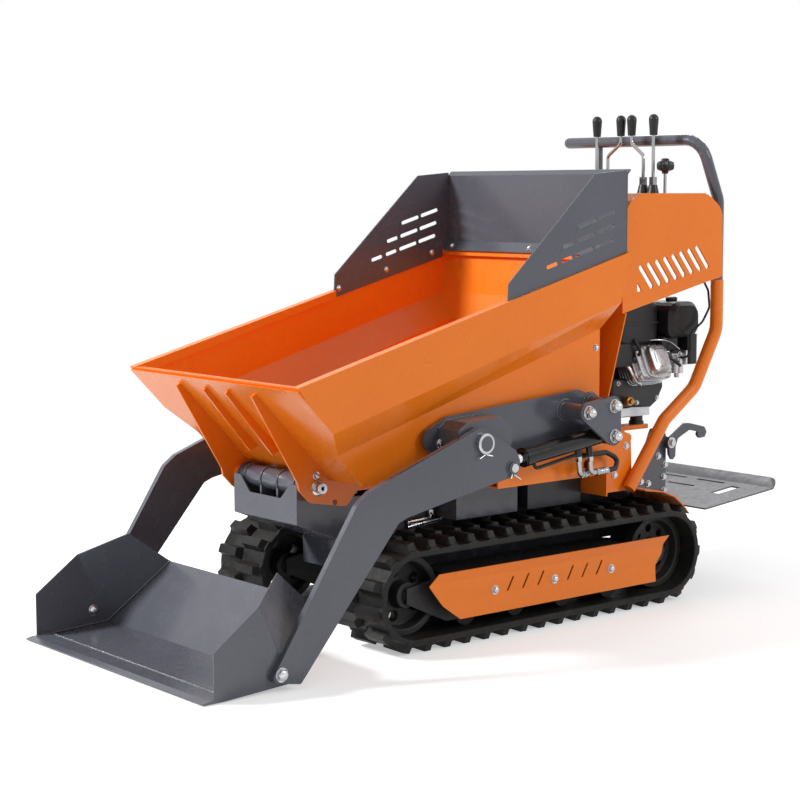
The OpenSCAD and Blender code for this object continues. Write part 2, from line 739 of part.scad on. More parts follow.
// the engine's cylinder leans up to the left; its own +Y runs along the bore
module at_cylinder() {
  translate(cylinder_at) rotate([cylinder_lean, 0, 0]) children();
}

module across_bore(y0, y1, half_x, half_z, r) {
  translate([0, y0, 0]) rotate([-90, 0, 0]) linear_extrude(y1 - y0)
    polygon(rounded_box(-half_x, half_x, -half_z, half_z, r));
}

module engine_block() {
  color(steel) at_frame() {
    plate_x(case_rear_x, case_front_x, rounded([[-98, foot_z + 10], [98, foot_z + 10], [112, 560, 20], [70, 612, 25],
      [-80, 612, 30], [-105, 560, 20]]));
    plate_x(case_rear_x + 20, case_front_x - 8, [[-118, foot_z], [118, foot_z], [118, foot_z + 10], [-118, foot_z + 10]]);
    rod_x(case_front_x, case_front_x + 16, 0, crank_z, 60);
    at_cylinder() {
      across_bore(-20, 60, 42, 34, 10);
      for (i = [0 : 4]) across_bore(16 + i * 9, 20 + i * 9, 60, 46, 14);
    }
  }
}

module engine_head() {
  color(steel) at_frame() at_cylinder() {
    across_bore(60, 67, 64, 48, 14);
    across_bore(67, 82, 52, 40, 10);
    across_bore(82, 88, 46, 36, 8);
    conv([for (q = [[88, 45, 35], [106, 32, 22]]) for (i = [-1, 1]) for (j = [-1, 1]) [i * q[1], q[0], j * q[2]]]);
  }
}

module engine_mounts() {
  color(black) at_frame() for (x = [-535, -405]) both() {
    rod_z(x, 92, shelf_z, foot_z, 17);
    rod_z(x, 92, shelf_z, shelf_z + 8, 20);
    rod_z(x, 92, foot_z - 8, foot_z, 20);
  }
}

// recoil starter behind the crankcase, and the exhaust box in front of the head
module engine_shroud() {
  shroud_r = 92;
  color(black) at_frame() {
    translate([case_rear_x, 0, crank_z]) rotate([0, -90, 0]) difference() {
      rotate_extrude() polygon([[18, 0], [shroud_r, 0], [shroud_r, 24], [shroud_r - 10, 34], [58, 42], [40, 42],
        [34, 36], [18, 36]]);
      for (i = [0 : 11]) rotate(i * 30) translate([62, -3, 28]) cube([18, 6, 20]);
    }
    translate([0, 0, 596]) linear_extrude(64) polygon(rounded_box(-448, -352, 116, 206, 22));
    rod_x(-464, -447, 168, 618, 12);
  }
}

module carburettor() {
  bowl_x = carb_at[0] - 30;
  color(steel) at_frame() {
    rod_x(cleaner_front_x, carb_at[0], carb_at[1], carb_at[2], 15);
    box(bowl_x - 18, bowl_x - 12, carb_at[1] - 24, carb_at[1] + 24, carb_at[2] - 20, carb_at[2] + 18);
    rod_z(bowl_x, carb_at[1] + 3, carb_at[2] - 42, carb_at[2] - 8, 17);
    rod_z(bowl_x, carb_at[1] + 3, carb_at[2] - 54, carb_at[2] - 42, 7);
  }
}

module air_cleaner() {
  shell = [[-660, 672, 24], [-546, 672, 24], [-546, 766, 34], [-660, 766, 34]];
  lid = [[-650, 682, 20], [-556, 682, 20], [-556, 756, 28], [-650, 756, 28]];
  color(black) at_frame() {
    hull() {
      plate_y(112, 192, rounded(shell));
      plate_y(100, 205, rounded(lid));
    }
    translate([0, 0, 598]) linear_extrude(80) polygon(rounded_box(-662, cleaner_front_x, 120, 196, 10));
  }
}

module fuel_tank() {
  low = 668;
  high = 775;
  outline = rounded_box(-540, -335, -125, 90, 34);
  inset = rounded_box(-528, -347, -113, 78, 28);
  color(black) at_frame() {
    hull() {
      translate([0, 0, low + 12]) linear_extrude(high - low - 26) polygon(outline);
      translate([0, 0, low]) linear_extrude(high - low) polygon(inset);
    }
    translate([0, 0, 716]) linear_extrude(5) polygon(rounded_box(-545, -330, -130, 94, 36));
    for (x = [-530, -400]) box(x, x + 18, -50, 40, 612, low);
    rod_z(-500, 44, high - 2, high + 6, 18);
    translate([-500, 44, high + 4]) linear_extrude(16) polygon(lobed(23, 2, 10));
  }
}

// cable from under the throttle knob, out below the cowl and down to the carburettor
module throttle_cable() {
  cable_r = 3;
  bowl_x = carb_at[0] - 30;
  route = [[lever_x - 6, star_y, deck_z - 4.3], [lever_x - 6, star_y, 960], [-612, 246, 836], [-650, 238, 796],
    [-668, 228, 750], [-650, 220, 712], [-606, 218, 684], [bowl_x, 226, carb_at[2]],
    [bowl_x, carb_at[1] + 15.3, carb_at[2]]];
  color(black) at_frame() bent_tube(route, cable_r, 22, [0.3, 0.9, 0.1], 3, 8);
}

module hydraulic_pump() {
  start = case_front_x + 16;
  color(grey) at_frame() {
    rod_x(start, start + 12, 0, crank_z, 56);
    rod_x(start + 12, start + 88, 0, crank_z, 40);
    box(start + 30, start + 70, -56, 56, crank_z - 22, crank_z + 22);
  }
}

// two double spool valves hung under the deck, below the levers
module valve_block() {
  color(grey) at_frame() for (i = [0, 2]) let (mid = (lever_base[i] + lever_base[i + 1]) / 2) {
    box(lever_x - 40, lever_x + 38, mid - 42, mid + 42, 966, 1030);
    box(lever_x - 20, lever_x + 20, mid - 30, mid + 30, 1030, deck_z - 4);
    for (y = [lever_base[i], lever_base[i + 1]]) rod_x(lever_x - 56, lever_x - 40, y, 990, 10);
  }
}

// the left tube ends under the handlebar's leg; the right one runs on up inside the cowl
module frame_tube(s) {
  top_z = s > 0 ? leg_z : deck_z - 70;
  color(orange) at_frame() side(s)
    bent_tube([for (p = [[-648, top_z], [-648, 695], [-564, 547], [-451, 469], [-322, 302]]) [p[0], tube_y, p[1]]],
      tube_r, 70, [0, 1, 0]);
}

module side_panel(s) {
  slot_w = 17;
  slot_h = 60;
  slot_lean = 50;
  first_x = -321;
  first_z = 872;
  slot_rise = 6.4;
  color(orange) at_frame() side(s) difference() {
    plate_y(panel_in, cowl_half, rounded([[-335, deck_z], [-580, deck_z, 60], [-641, 1012, 50], [-645, 838, 5],
      [-634, 832], [-585, 823], [-271, 753], [-266, 923, 60], [-284, 1015, 40], [-300, 1036, 10]]));
    for (i = [0 : louvre_count - 1]) let (x = first_x - i * louvre_pitch, z = first_z + i * slot_rise)
      plate_y(panel_in - 1, cowl_half + 1, rounded([[x, z, 6], [x - slot_w, z, 4], [x - slot_w - slot_lean, z - slot_h, 6],
        [x - slot_lean, z - slot_h, 4]]));
    plate_y(panel_in - 1, cowl_half + 1, rounded([[first_x - 1, 832, 2], [first_x - 20, 806, 3], [first_x - 2, 806, 2]]));
  }
}

module top_deck() {
  low = deck_z - 4;
  color(orange) at_frame() {
    box(-580, -335, -panel_in, panel_in, low, deck_z);
    plate_y(-panel_in, panel_in, [[-281, 753], [-270, 923], [-288, 1015], [-300, 1033], [-335, deck_z], [-335, low],
      [-303, 1029], [-292, 1014], [-274, 923], [-285, 753]]);
  }
}

// the bar turns down on the left only; its right end is free and a thin stay carries it
module handlebar() {
  knee = [-648, 1034];
  free_y = -212;
  stay_y = -100;
  lean = unit([bar_x - knee[0], 0, bar_z - knee[1]]);
  color(grey) at_frame() {
    bent_tube([[knee[0], tube_y, leg_z], [knee[0], tube_y, knee[1]], [bar_x, tube_y, bar_z], [bar_x, free_y, bar_z]],
      bar_r, 50, [lean[2], 0, -lean[0]], 5, 16, true);
    rod_z(bar_x - 2, stay_y, deck_z, bar_z - 3, 10.5);
  }
}

module control_levers() {
  rod_r = 4.5;
  foot = deck_z + boot_h;
  crank_low = 1150;
  crank_high = 1182;
  color(steel) at_frame() {
    for (i = [0 : 3]) {
      box(lever_x - 7, lever_x + 7, lever_base[i] - 7, lever_base[i] + 7, foot, foot + clevis_h);
      if (lever_base[i] == lever_top[i])
        rod_z(lever_x, lever_base[i], foot + clevis_h - 2, knob_z, rod_r);
      else
        bent_tube([[lever_x, lever_base[i], foot + clevis_h - 2], [lever_x, lever_base[i], crank_low],
          [lever_x, lever_top[i], crank_high], [lever_x, lever_top[i], knob_z]], rod_r, 14, [1, 0, 0], 4, 10);
    }
    rod_z(lever_x, star_y, deck_z, 1114, 4);
  }
}

// moulded knobs and boots, turned shapes, and the star knob of the throttle
module lever_knobs() {
  knob_h = 41;
  knob_r = 13;
  color(black) at_frame() {
    for (y = lever_top) translate([lever_x, y, knob_z]) rotate_extrude()
      polygon(concat([[0, 0], [10, 0]], [for (a = [0 : 15 : 90]) [knob_r * cos(a), knob_h + 14 * sin(a)]]));
    for (y = lever_base) translate([lever_x, y, deck_z]) cylinder(r1 = 16, r2 = 11, h = boot_h);
    translate([lever_x, star_y, 1114]) linear_extrude(16) polygon(lobed(17.5, 4.5, 5));
  }
}

latch_at = [-610, 384];

module rear_bracket() {
  color(grey) at_frame() difference() {
    both() {
      plate_y(brk_in, brk_out, rounded([[-488, 170], [-488, 290], [-552, 425, 10], [-600, 425, 8], [-608, 400],
        [latch_at[0] - 13, latch_at[1] + 11, 5], [latch_at[0] - 13, latch_at[1] - 12, 5], [-608, 366], [-608, 240],
        [-620, 222], [plat_hinge_x, 222], [plat_hinge_x, 196], [-560, 170]]));
      rod_y(plat_hinge_x, plat_hinge_z, brk_in, brk_out, 13);
    }
    rod_y(plat_hinge_x, plat_hinge_z, -200, 200, 8.05);
  }
}

module latch_hook() {
  hook_in = brk_out + 10;
  color(grey) at_frame() {
    rod_y(latch_at[0], latch_at[1], brk_out, hook_in, 11);
    plate_y(hook_in, hook_in + 8, rounded([[-598, 384, 8], [-604, 398, 8], [-664, 433, 10], [-684, 431, 10],
      [-742, 417, 10], [-751, 402, 7], [-744, 389, 5], [-722, 387, 5], [-713, 398, 4], [-717, 405], [-681, 413, 8],
      [-636, 394, 8], [-627, 372, 8], [-626, 346, 4], [-614, 336, 4], [-603, 352, 6]]));
  }
}

// mudguard behind the bay, rolled down over the sprocket
module rear_fender(s) {
  edge = track_outer_y - 25;
  top = [[-352, 300], [sprocket_x - 1, 289], [sprocket_x - 45, 272], [sprocket_x - 75, 248], [sprocket_x - 100, 222]];
  sheet = [3, 3, 2.7, 2.2, 2];
  under = [for (i = [4 : -1 : 0]) top[i] + [i > 1 ? sheet[i] : 0, -sheet[i]]];
  color(orange) at_frame() side(s) plate_y(brk_out, edge, concat(top, under));
}

module platform() {
  lip = platform_rear_x + 35;
  front = plat_hinge_x - 13;
  rise = 27;
  slot_z = plat_hinge_z - 10;
  color(pale) at_frame() difference() {
    union() {
      intersection() {
        plate_y(-plat_half, plat_half, [[front, plat_hinge_z], [lip, plat_hinge_z + rise],
          [platform_rear_x + 2, plat_hinge_z + rise + 22], [platform_rear_x, plat_hinge_z + rise + 26],
          [lip + 2, plat_hinge_z + rise + 4], [front, plat_hinge_z + 4]]);
        translate([0, 0, 150]) linear_extrude(200) hull() {
          translate([front - 55, -plat_half]) square([100, 2 * plat_half]);
          for (y = [-1, 1]) translate([platform_rear_x + 40, y * (plat_half - 40)]) circle(r = 40);
        }
      }
      both() {
        rod_y(plat_hinge_x, plat_hinge_z, brk_out + 4, brk_out + 16, 13);
        plate_y(brk_out + 4, brk_out + 16, [[plat_hinge_x, plat_hinge_z - 13], [plat_hinge_x, plat_hinge_z + 3],
          [front, plat_hinge_z + 4], [front - 55, plat_hinge_z + 7], [front - 55, plat_hinge_z + 3],
          [front, plat_hinge_z - 11]]);
      }
      rod_y(plat_hinge_x, plat_hinge_z, -brk_out - 16, brk_out + 16, 8);
    }
    box(lip + 43, lip + 133, 131, 163, slot_z, slot_z + 60);
    for (y = [-150, -10]) box(lip + 20, lip + 32, y, y + 100, slot_z, slot_z + 60);
    box(lip + 90, lip + 102, -60, 40, slot_z, slot_z + 60);
  }
}

main_frame();
hydraulic_tank();
battery_box();
front_hinge_bracket();
upper_frame();
track_frame(1);  // track_frame_l
track_frame(-1);  // track_frame_r
track(1);  // track_l
track(-1);  // track_r
idler(1);  // idler_l
idler(-1);  // idler_r
sprocket(1);  // sprocket_l
sprocket(-1);  // sprocket_r
rollers(1);  // rollers_l
rollers(-1);  // rollers_r
track_cover(1);  // track_cover_l
track_cover(-1);  // track_cover_r
loader_mount(1);  // loader_mount_l
loader_mount(-1);  // loader_mount_r
engine_block();
engine_head();
engine_mounts();
engine_shroud();
carburettor();
air_cleaner();
fuel_tank();
throttle_cable();
hydraulic_pump();
valve_block();
frame_tube(1);  // frame_tube_l
frame_tube(-1);  // frame_tube_r
side_panel(1);  // side_panel_l
side_panel(-1);  // side_panel_r
top_deck();
handlebar();
control_levers();
lever_knobs();
rear_bracket();
latch_hook();
rear_fender(1);  // rear_fender_l
rear_fender(-1);  // rear_fender_r
skip_tub();
skip_ribs();
guard_plate(guard_y);  // guard_left
guard_plate(-guard_y - 4);  // guard_right
guard_back();
arm(1);  // arm_l
arm(-1);  // arm_r
bucket();
lift_barrel(1);  // lift_barrel_l
lift_barrel(-1);  // lift_barrel_r
lift_hose(1);  // lift_hose_l
lift_hose(-1);  // lift_hose_r
lift_rod(1);  // lift_rod_l
lift_rod(-1);  // lift_rod_r
tip_barrel();
tip_rod();
platform();
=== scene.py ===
import json
import math

import bmesh
import bpy
import numpy as np
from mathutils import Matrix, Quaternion, Vector


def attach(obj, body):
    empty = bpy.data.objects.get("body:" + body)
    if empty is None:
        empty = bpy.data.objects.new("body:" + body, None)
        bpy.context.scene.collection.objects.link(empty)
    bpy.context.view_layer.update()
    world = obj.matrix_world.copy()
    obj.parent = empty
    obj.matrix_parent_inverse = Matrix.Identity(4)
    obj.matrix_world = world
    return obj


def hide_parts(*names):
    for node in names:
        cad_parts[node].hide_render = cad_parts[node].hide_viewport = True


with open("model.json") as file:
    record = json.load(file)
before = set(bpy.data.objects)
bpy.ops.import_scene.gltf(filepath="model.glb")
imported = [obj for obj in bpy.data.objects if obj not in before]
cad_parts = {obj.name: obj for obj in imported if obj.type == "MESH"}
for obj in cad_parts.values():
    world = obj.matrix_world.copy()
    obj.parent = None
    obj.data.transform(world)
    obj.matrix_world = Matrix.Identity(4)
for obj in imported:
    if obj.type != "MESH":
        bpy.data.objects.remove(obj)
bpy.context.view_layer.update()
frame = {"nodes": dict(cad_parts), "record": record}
print("frame loaded:", len(frame["nodes"]), "nodes")

# solved from points of the photograph, in metres
shot = {
    "place": (3.0925, 3.563, 1.058),
    "aim": (0.1655, 0.0, 0.546),
    "roll": -0.125,     # degrees about the line of sight
    "lens": 84.53,      # millimetres, as the sensor's width
    "sensor": 36.0,
    "clip": (0.05, 100),
}


def setCamera(s):
    data = bpy.data.cameras.new("photoCamera")
    data.lens, data.sensor_width = s["lens"], s["sensor"]
    data.clip_start, data.clip_end = s["clip"]
    cam = bpy.data.objects.new("photoCamera", data)
    bpy.context.scene.collection.objects.link(cam)
    look = Vector(s["aim"]) - Vector(s["place"])
    cam.location = s["place"]
    cam.rotation_mode = "QUATERNION"
    turn = Quaternion((0, 0, 1), math.radians(s["roll"]))
    cam.rotation_quaternion = look.to_track_quat("-Z", "Y") @ turn
    bpy.context.scene.camera = cam


setCamera(shot)

studio = {
    "floorReach": 40.0,         # metres from the middle to the floor's edges
    "floorGrey": 0.86,
    "floorGlow": 0.42,          # what camera and mirrors see on top of the light on the floor
    "fade": (1.5, 3.0),         # metres from the middle over which the floor turns plain white
    "skyFill": 0.40,
    "skySeen": 1.0,
    "lamps": {                  # place, aim, size, watts
        "keyLamp": ((3.3, -1.8, 3.3), (0.1, 0.0, 0.5), 1.1, 235),
        "sideLamp": ((-1.9, 3.9, 2.5), (0.0, 0.0, 0.5), 1.7, 64),
        "backLamp": ((-3.2, -1.8, 3.0), (0.0, 0.0, 0.6), 2.4, 40),
    },
}


def seenByEye(nodes, links):
    # one where a camera, mirror or glass ray looks, and nought for light
    path = nodes.new("ShaderNodeLightPath")
    total = path.outputs["Is Camera Ray"]
    for other in ("Is Glossy Ray", "Is Transmission Ray"):
        most = nodes.new("ShaderNodeMath")
        most.operation = "MAXIMUM"
        links.new(total, most.inputs[0])
        links.new(path.outputs[other], most.inputs[1])
        total = most.outputs[0]
    return total


def setSky(s):
    world = bpy.data.worlds.new("studioWorld")
    bpy.context.scene.world = world
    world.use_nodes = True
    nodes, links = world.node_tree.nodes, world.node_tree.links
    nodes.clear()
    out = nodes.new("ShaderNodeOutputWorld")
    mix = nodes.new("ShaderNodeMixShader")
    links.new(seenByEye(nodes, links), mix.inputs["Fac"])
    for socket, strength in ((1, s["skyFill"]), (2, s["skySeen"])):
        sky = nodes.new("ShaderNodeBackground")
        sky.inputs["Color"].default_value = (1, 1, 1, 1)
        sky.inputs["Strength"].default_value = strength
        links.new(sky.outputs[0], mix.inputs[socket])
    links.new(mix.outputs[0], out.inputs["Surface"])


def setLamps(s):
    for name, (place, aim, size, watts) in s["lamps"].items():
        data = bpy.data.lights.new(name, "AREA")
        data.shape, data.size, data.energy = "DISK", size, watts
        lamp = bpy.data.objects.new(name, data)
        bpy.context.scene.collection.objects.link(lamp)
        lamp.location = place
        lamp.rotation_mode = "QUATERNION"
        lamp.rotation_quaternion = (Vector(aim) - Vector(place)).to_track_quat("-Z", "Y")


def setFloor(s):
    mesh = bpy.data.meshes.new("studioFloor")
    r = s["floorReach"]
    mesh.from_pydata([(-r, -r, 0), (r, -r, 0), (r, r, 0), (-r, r, 0)], [], [(0, 1, 2, 3)])
    floor = bpy.data.objects.new("studioFloor", mesh)
    bpy.context.scene.collection.objects.link(floor)
    mat = bpy.data.materials.new("studioFloor")
    mat.use_nodes = True
    nodes, links = mat.node_tree.nodes, mat.node_tree.links
    nodes.clear()
    out = nodes.new("ShaderNodeOutputMaterial")
    matt = nodes.new("ShaderNodeBsdfDiffuse")
    matt.inputs["Color"].default_value = (s["floorGrey"],) * 3 + (1,)
    eye = seenByEye(nodes, links)
    glow, plain = nodes.new("ShaderNodeEmission"), nodes.new("ShaderNodeEmission")
    share = nodes.new("ShaderNodeMath")
    share.operation = "MULTIPLY"
    share.inputs[1].default_value = s["floorGlow"]
    links.new(eye, share.inputs[0])
    links.new(share.outputs[0], glow.inputs["Strength"])
    near = nodes.new("ShaderNodeAddShader")
    links.new(matt.outputs[0], near.inputs[0])
    links.new(glow.outputs[0], near.inputs[1])
    length = nodes.new("ShaderNodeVectorMath")
    length.operation = "LENGTH"
    links.new(nodes.new("ShaderNodeTexCoord").outputs["Object"], length.inputs[0])
    fade = nodes.new("ShaderNodeMapRange")
    fade.interpolation_type = "SMOOTHSTEP"
    fade.inputs["From Min"].default_value, fade.inputs["From Max"].default_value = s["fade"]
    links.new(length.outputs["Value"], fade.inputs["Value"])
    far = nodes.new("ShaderNodeMath")
    far.operation = "MULTIPLY"
    links.new(fade.outputs["Result"], far.inputs[0])
    links.new(eye, far.inputs[1])
    mix = nodes.new("ShaderNodeMixShader")
    links.new(far.outputs[0], mix.inputs["Fac"])
    links.new(near.outputs[0], mix.inputs[1])
    links.new(plain.outputs[0], mix.inputs[2])
    links.new(mix.outputs[0], out.inputs["Surface"])
    mesh.materials.append(mat)


setSky(studio)
setLamps(studio)
setFloor(studio)
bpy.context.scene.view_settings.view_transform = "Standard"
print("camera, lamps and floor set")

# colour, its drift, roughness low and high, grain per metre and its height, metal, coat, patches per metre;
# dust is a share of grit towards the ground, spangle the crystals of hot-dip zinc per metre, and shine the
# mirror's level
finishes = {
    "orangeCoat": dict(colour=(0.88, 0.205, 0.008), drift=(0.83, 0.186, 0.007), rough=(0.24, 0.34),
                       grain=320, height=0.05, metal=0.0, coat=0.12, patch=2.6, shine=0.34),
    "greyCoat": dict(colour=(0.088, 0.093, 0.116), drift=(0.077, 0.082, 0.103), rough=(0.20, 0.31),
                     grain=320, height=0.05, metal=0.0, coat=0.22, patch=4.0, shine=0.42),
    "trackRubber": dict(colour=(0.007, 0.007, 0.007), drift=(0.013, 0.0125, 0.012), rough=(0.42, 0.68),
                        grain=380, height=0.35, metal=0.0, coat=0.0, patch=14.0, dust=0.10, shine=0.24),
    "wheelBlack": dict(colour=(0.012, 0.012, 0.013), drift=(0.020, 0.020, 0.019), rough=(0.38, 0.62),
                       grain=500, height=0.22, metal=0.0, coat=0.0, patch=12.0, dust=0.10, shine=0.32),
    "mouldedBlack": dict(colour=(0.010, 0.010, 0.011), drift=(0.015, 0.015, 0.016), rough=(0.28, 0.44),
                         grain=1500, height=0.20, metal=0.0, coat=0.0, patch=9.0, shine=0.36),
    "hoseRubber": dict(colour=(0.010, 0.010, 0.011), drift=(0.017, 0.017, 0.018), rough=(0.38, 0.56),
                       grain=1200, height=0.25, metal=0.0, coat=0.0, patch=20.0, shine=0.36),
    "glossBlack": dict(colour=(0.007, 0.007, 0.008), drift=(0.011, 0.011, 0.012), rough=(0.09, 0.16),
                       grain=400, height=0.03, metal=0.0, coat=0.1, patch=6.0, shine=0.28),
    "chromeRod": dict(colour=(0.74, 0.74, 0.76), drift=(0.66, 0.66, 0.68), rough=(0.06, 0.14),
                      grain=1600, height=0.03, metal=1.0, coat=0.0, patch=8.0),
    "castAluminium": dict(colour=(0.60, 0.605, 0.62), drift=(0.46, 0.465, 0.48), rough=(0.24, 0.40),
                          grain=450, height=0.22, metal=0.92, coat=0.0, patch=16.0),
    "zincPlate": dict(colour=(0.60, 0.605, 0.62), drift=(0.51, 0.515, 0.535), rough=(0.17, 0.30),
                      grain=500, height=0.06, metal=1.0, coat=0.0, patch=24.0),
    "steelFitting": dict(colour=(0.44, 0.44, 0.45), drift=(0.36, 0.36, 0.37), rough=(0.12, 0.24),
                         grain=500, height=0.05, metal=1.0, coat=0.0, patch=24.0),
    "darkCast": dict(colour=(0.026, 0.026, 0.028), drift=(0.018, 0.018, 0.019), rough=(0.30, 0.46),
                     grain=500, height=0.25, metal=0.2, coat=0.0, patch=14.0),
    # grey coat darkened to about a third: painted shade for the hydraulic tank and battery box, which sit in
    # shadow
    "greyPaintedShade": dict(colour=(0.034, 0.036, 0.044), drift=(0.027, 0.029, 0.036), rough=(0.26, 0.38),
                       grain=320, height=0.06, metal=0.0, coat=0.1, patch=5.0, shine=0.36),
    "hotDipZinc": dict(colour=(0.115, 0.117, 0.127), drift=(0.080, 0.082, 0.090), rough=(0.34, 0.50),
                       grain=650, height=0.22, metal=0.35, coat=0.0, patch=7.0, spangle=110, shine=0.4),
    "brassFitting": dict(colour=(0.55, 0.33, 0.08), drift=(0.36, 0.20, 0.05), rough=(0.25, 0.42),
                         grain=900, height=0.12, metal=1.0, coat=0.0, patch=30.0),
}
# what the finishes share: a span is the part of a noise's range over which it turns from one end to the other
finishRule = dict(
    noiseRough=0.55, patchDetail=5, patchSpan=(0.34, 0.66),
    glossFiner=7, glossDetail=4, glossSpan=(0.3, 0.7),
    grainDetail=2, grainDepth=0.0004, coatRough=0.10, shine=0.5,
    spangleShare=0.45, spangleLift=1.5,
    dustColour=(0.16, 0.13, 0.10), dustTop=0.30, dustAbove=0.35,
    dustPerMetre=60, dustDetail=6, dustSpan=(0.45, 0.75),
)


def makeFinish(name, f, rule):
    mat = bpy.data.materials.new(name)
    mat.use_nodes = True
    nodes, links = mat.node_tree.nodes, mat.node_tree.links
    nodes.clear()
    out = nodes.new("ShaderNodeOutputMaterial")
    skin = nodes.new("ShaderNodeBsdfPrincipled")
    links.new(skin.outputs["BSDF"], out.inputs["Surface"])
    where = nodes.new("ShaderNodeTexCoord").outputs["Object"]

    def noise(scale, detail):
        n = nodes.new("ShaderNodeTexNoise")
        n.inputs["Scale"].default_value = scale
        n.inputs["Detail"].default_value = detail
        n.inputs["Roughness"].default_value = rule["noiseRough"]
        links.new(where, n.inputs["Vector"])
        return n.outputs["Fac"]

    def spread(value, low, high, toLow, toHigh):
        m = nodes.new("ShaderNodeMapRange")
        m.inputs["From Min"].default_value, m.inputs["From Max"].default_value = low, high
        m.inputs["To Min"].default_value, m.inputs["To Max"].default_value = toLow, toHigh
        links.new(value, m.inputs["Value"])
        return m.outputs["Result"]

    def blend(share, first, second):
        m = nodes.new("ShaderNodeMix")
        m.data_type = "RGBA"
        links.new(share, m.inputs["Factor"])
        for value, socket in ((first, m.inputs["A"]), (second, m.inputs["B"])):
            if isinstance(value, tuple):
                socket.default_value = value + (1,)
            else:
                links.new(value, socket)
        return m.outputs["Result"]

    cloud = noise(f["patch"], rule["patchDetail"])
    tint = blend(spread(cloud, *rule["patchSpan"], 0, 1), f["drift"], f["colour"])
    gloss = spread(noise(f["patch"] * rule["glossFiner"], rule["glossDetail"]), *rule["glossSpan"], *f["rough"])
    if "spangle" in f:
        cells = nodes.new("ShaderNodeTexVoronoi")
        cells.inputs["Scale"].default_value = f["spangle"]
        links.new(where, cells.inputs["Vector"])
        grey = nodes.new("ShaderNodeSeparateColor")
        links.new(cells.outputs["Color"], grey.inputs["Color"])
        bright = tuple(rule["spangleLift"] * c for c in f["colour"])
        tint = blend(spread(grey.outputs["Red"], 0, 1, 0, rule["spangleShare"]), tint, bright)
    if "dust" in f:
        apart = nodes.new("ShaderNodeSeparateXYZ")
        links.new(where, apart.inputs["Vector"])
        low = spread(apart.outputs["Z"], rule["dustTop"], 0.0, rule["dustAbove"], 1.0)
        grit = nodes.new("ShaderNodeMath")
        grit.operation = "MULTIPLY"
        links.new(low, grit.inputs[0])
        specks = noise(rule["dustPerMetre"], rule["dustDetail"])
        links.new(spread(specks, *rule["dustSpan"], 0, f["dust"]), grit.inputs[1])
        tint = blend(grit.outputs[0], tint, rule["dustColour"])
    links.new(tint, skin.inputs["Base Color"])
    links.new(gloss, skin.inputs["Roughness"])
    bump = nodes.new("ShaderNodeBump")
    bump.inputs["Strength"].default_value = f["height"]
    bump.inputs["Distance"].default_value = rule["grainDepth"]
    links.new(noise(f["grain"], rule["grainDetail"]), bump.inputs["Height"])
    links.new(bump.outputs["Normal"], skin.inputs["Normal"])
    skin.inputs["Metallic"].default_value = f["metal"]
    skin.inputs["Specular IOR Level"].default_value = f.get("shine", rule["shine"])
    skin.inputs["Coat Weight"].default_value = f["coat"]
    skin.inputs["Coat Roughness"].default_value = rule["coatRough"]
    return mat


finish = {name: makeFinish(name, f, finishRule) for name, f in finishes.items()}

slotFinish = {
    "orange_paint": "orangeCoat", "grey_paint": "greyCoat", "rubber": "trackRubber",
    "wheel_black": "wheelBlack", "black_plastic": "mouldedBlack", "cylinder_black": "glossBlack",
    "chrome_rod": "chromeRod", "engine_cast": "castAluminium", "plated_steel": "zincPlate",
}
nodeFinish = {
    "lift_hose_l": "hoseRubber", "lift_hose_r": "hoseRubber", "throttle_cable": "hoseRubber",
    "engine_mounts": "hoseRubber", "platform": "hotDipZinc", "engine_block": "darkCast",
    # the hydraulic tank and battery box take the grey coat darkened with painted shade
    "track_frame_l": "wheelBlack", "track_frame_r": "wheelBlack", "hydraulic_tank": "greyPaintedShade",
    "battery_box": "greyPaintedShade", "control_levers": "steelFitting",
}

for part in frame["record"]["subparts"]:
    node = frame["nodes"][part["node"]]
    node.data.materials.clear()
    node.data.materials.append(finish[nodeFinish.get(part["node"], slotFinish[part["material_slot"]])])

# cut plates keep a small broken edge that catches the light; widths in metres
brokenEdges = {
    0.0022: ["idler_l", "idler_r", "sprocket_l", "sprocket_r", "rollers_l", "rollers_r",
             "track_frame_l", "track_frame_r"],
    0.0016: ["skip_tub", "skip_ribs", "arm_l", "arm_r", "bucket", "loader_mount_l", "loader_mount_r",
             "front_hinge_bracket", "main_frame", "hydraulic_tank", "battery_box"],
    0.0010: ["guard_left", "guard_right", "guard_back", "side_panel_l", "side_panel_r", "upper_frame",
             "top_deck", "rear_bracket", "latch_hook", "platform"],
}
# join is the gap in metres that is closed first, and a fold under the angle in degrees keeps its crease
edgeRule = dict(join=0.00002, segments=2, angle=14)


def breakEdges(width, names, rule):
    for name in names:
        node = frame["nodes"][name]
        weld = node.modifiers.new("joinFaces", "WELD")
        weld.merge_threshold = rule["join"]
        edge = node.modifiers.new("brokenEdge", "BEVEL")
        edge.width, edge.segments = width, rule["segments"]
        edge.limit_method, edge.angle_limit = "ANGLE", math.radians(rule["angle"])
        edge.use_clamp_overlap = True
        edge.harden_normals = True


for width, names in brokenEdges.items():
    breakEdges(width, names, edgeRule)
print("edges broken on", sum(len(n) for n in brokenEdges.values()), "plate nodes")

drawingZero = np.array((-45.5, 0.0, 0.0))   # the drawing counts millimetres from the track's middle
cornerGap = 1e-7                            # metres; corners of a piece that are closer than this are one
leftRight = (1, -1)
flips = [np.array((1, y, 1)) for y in leftRight]    # the left side as drawn, and its mirror


def toFrame(points):
    return (np.asarray(points, float) + drawingZero) / 1000


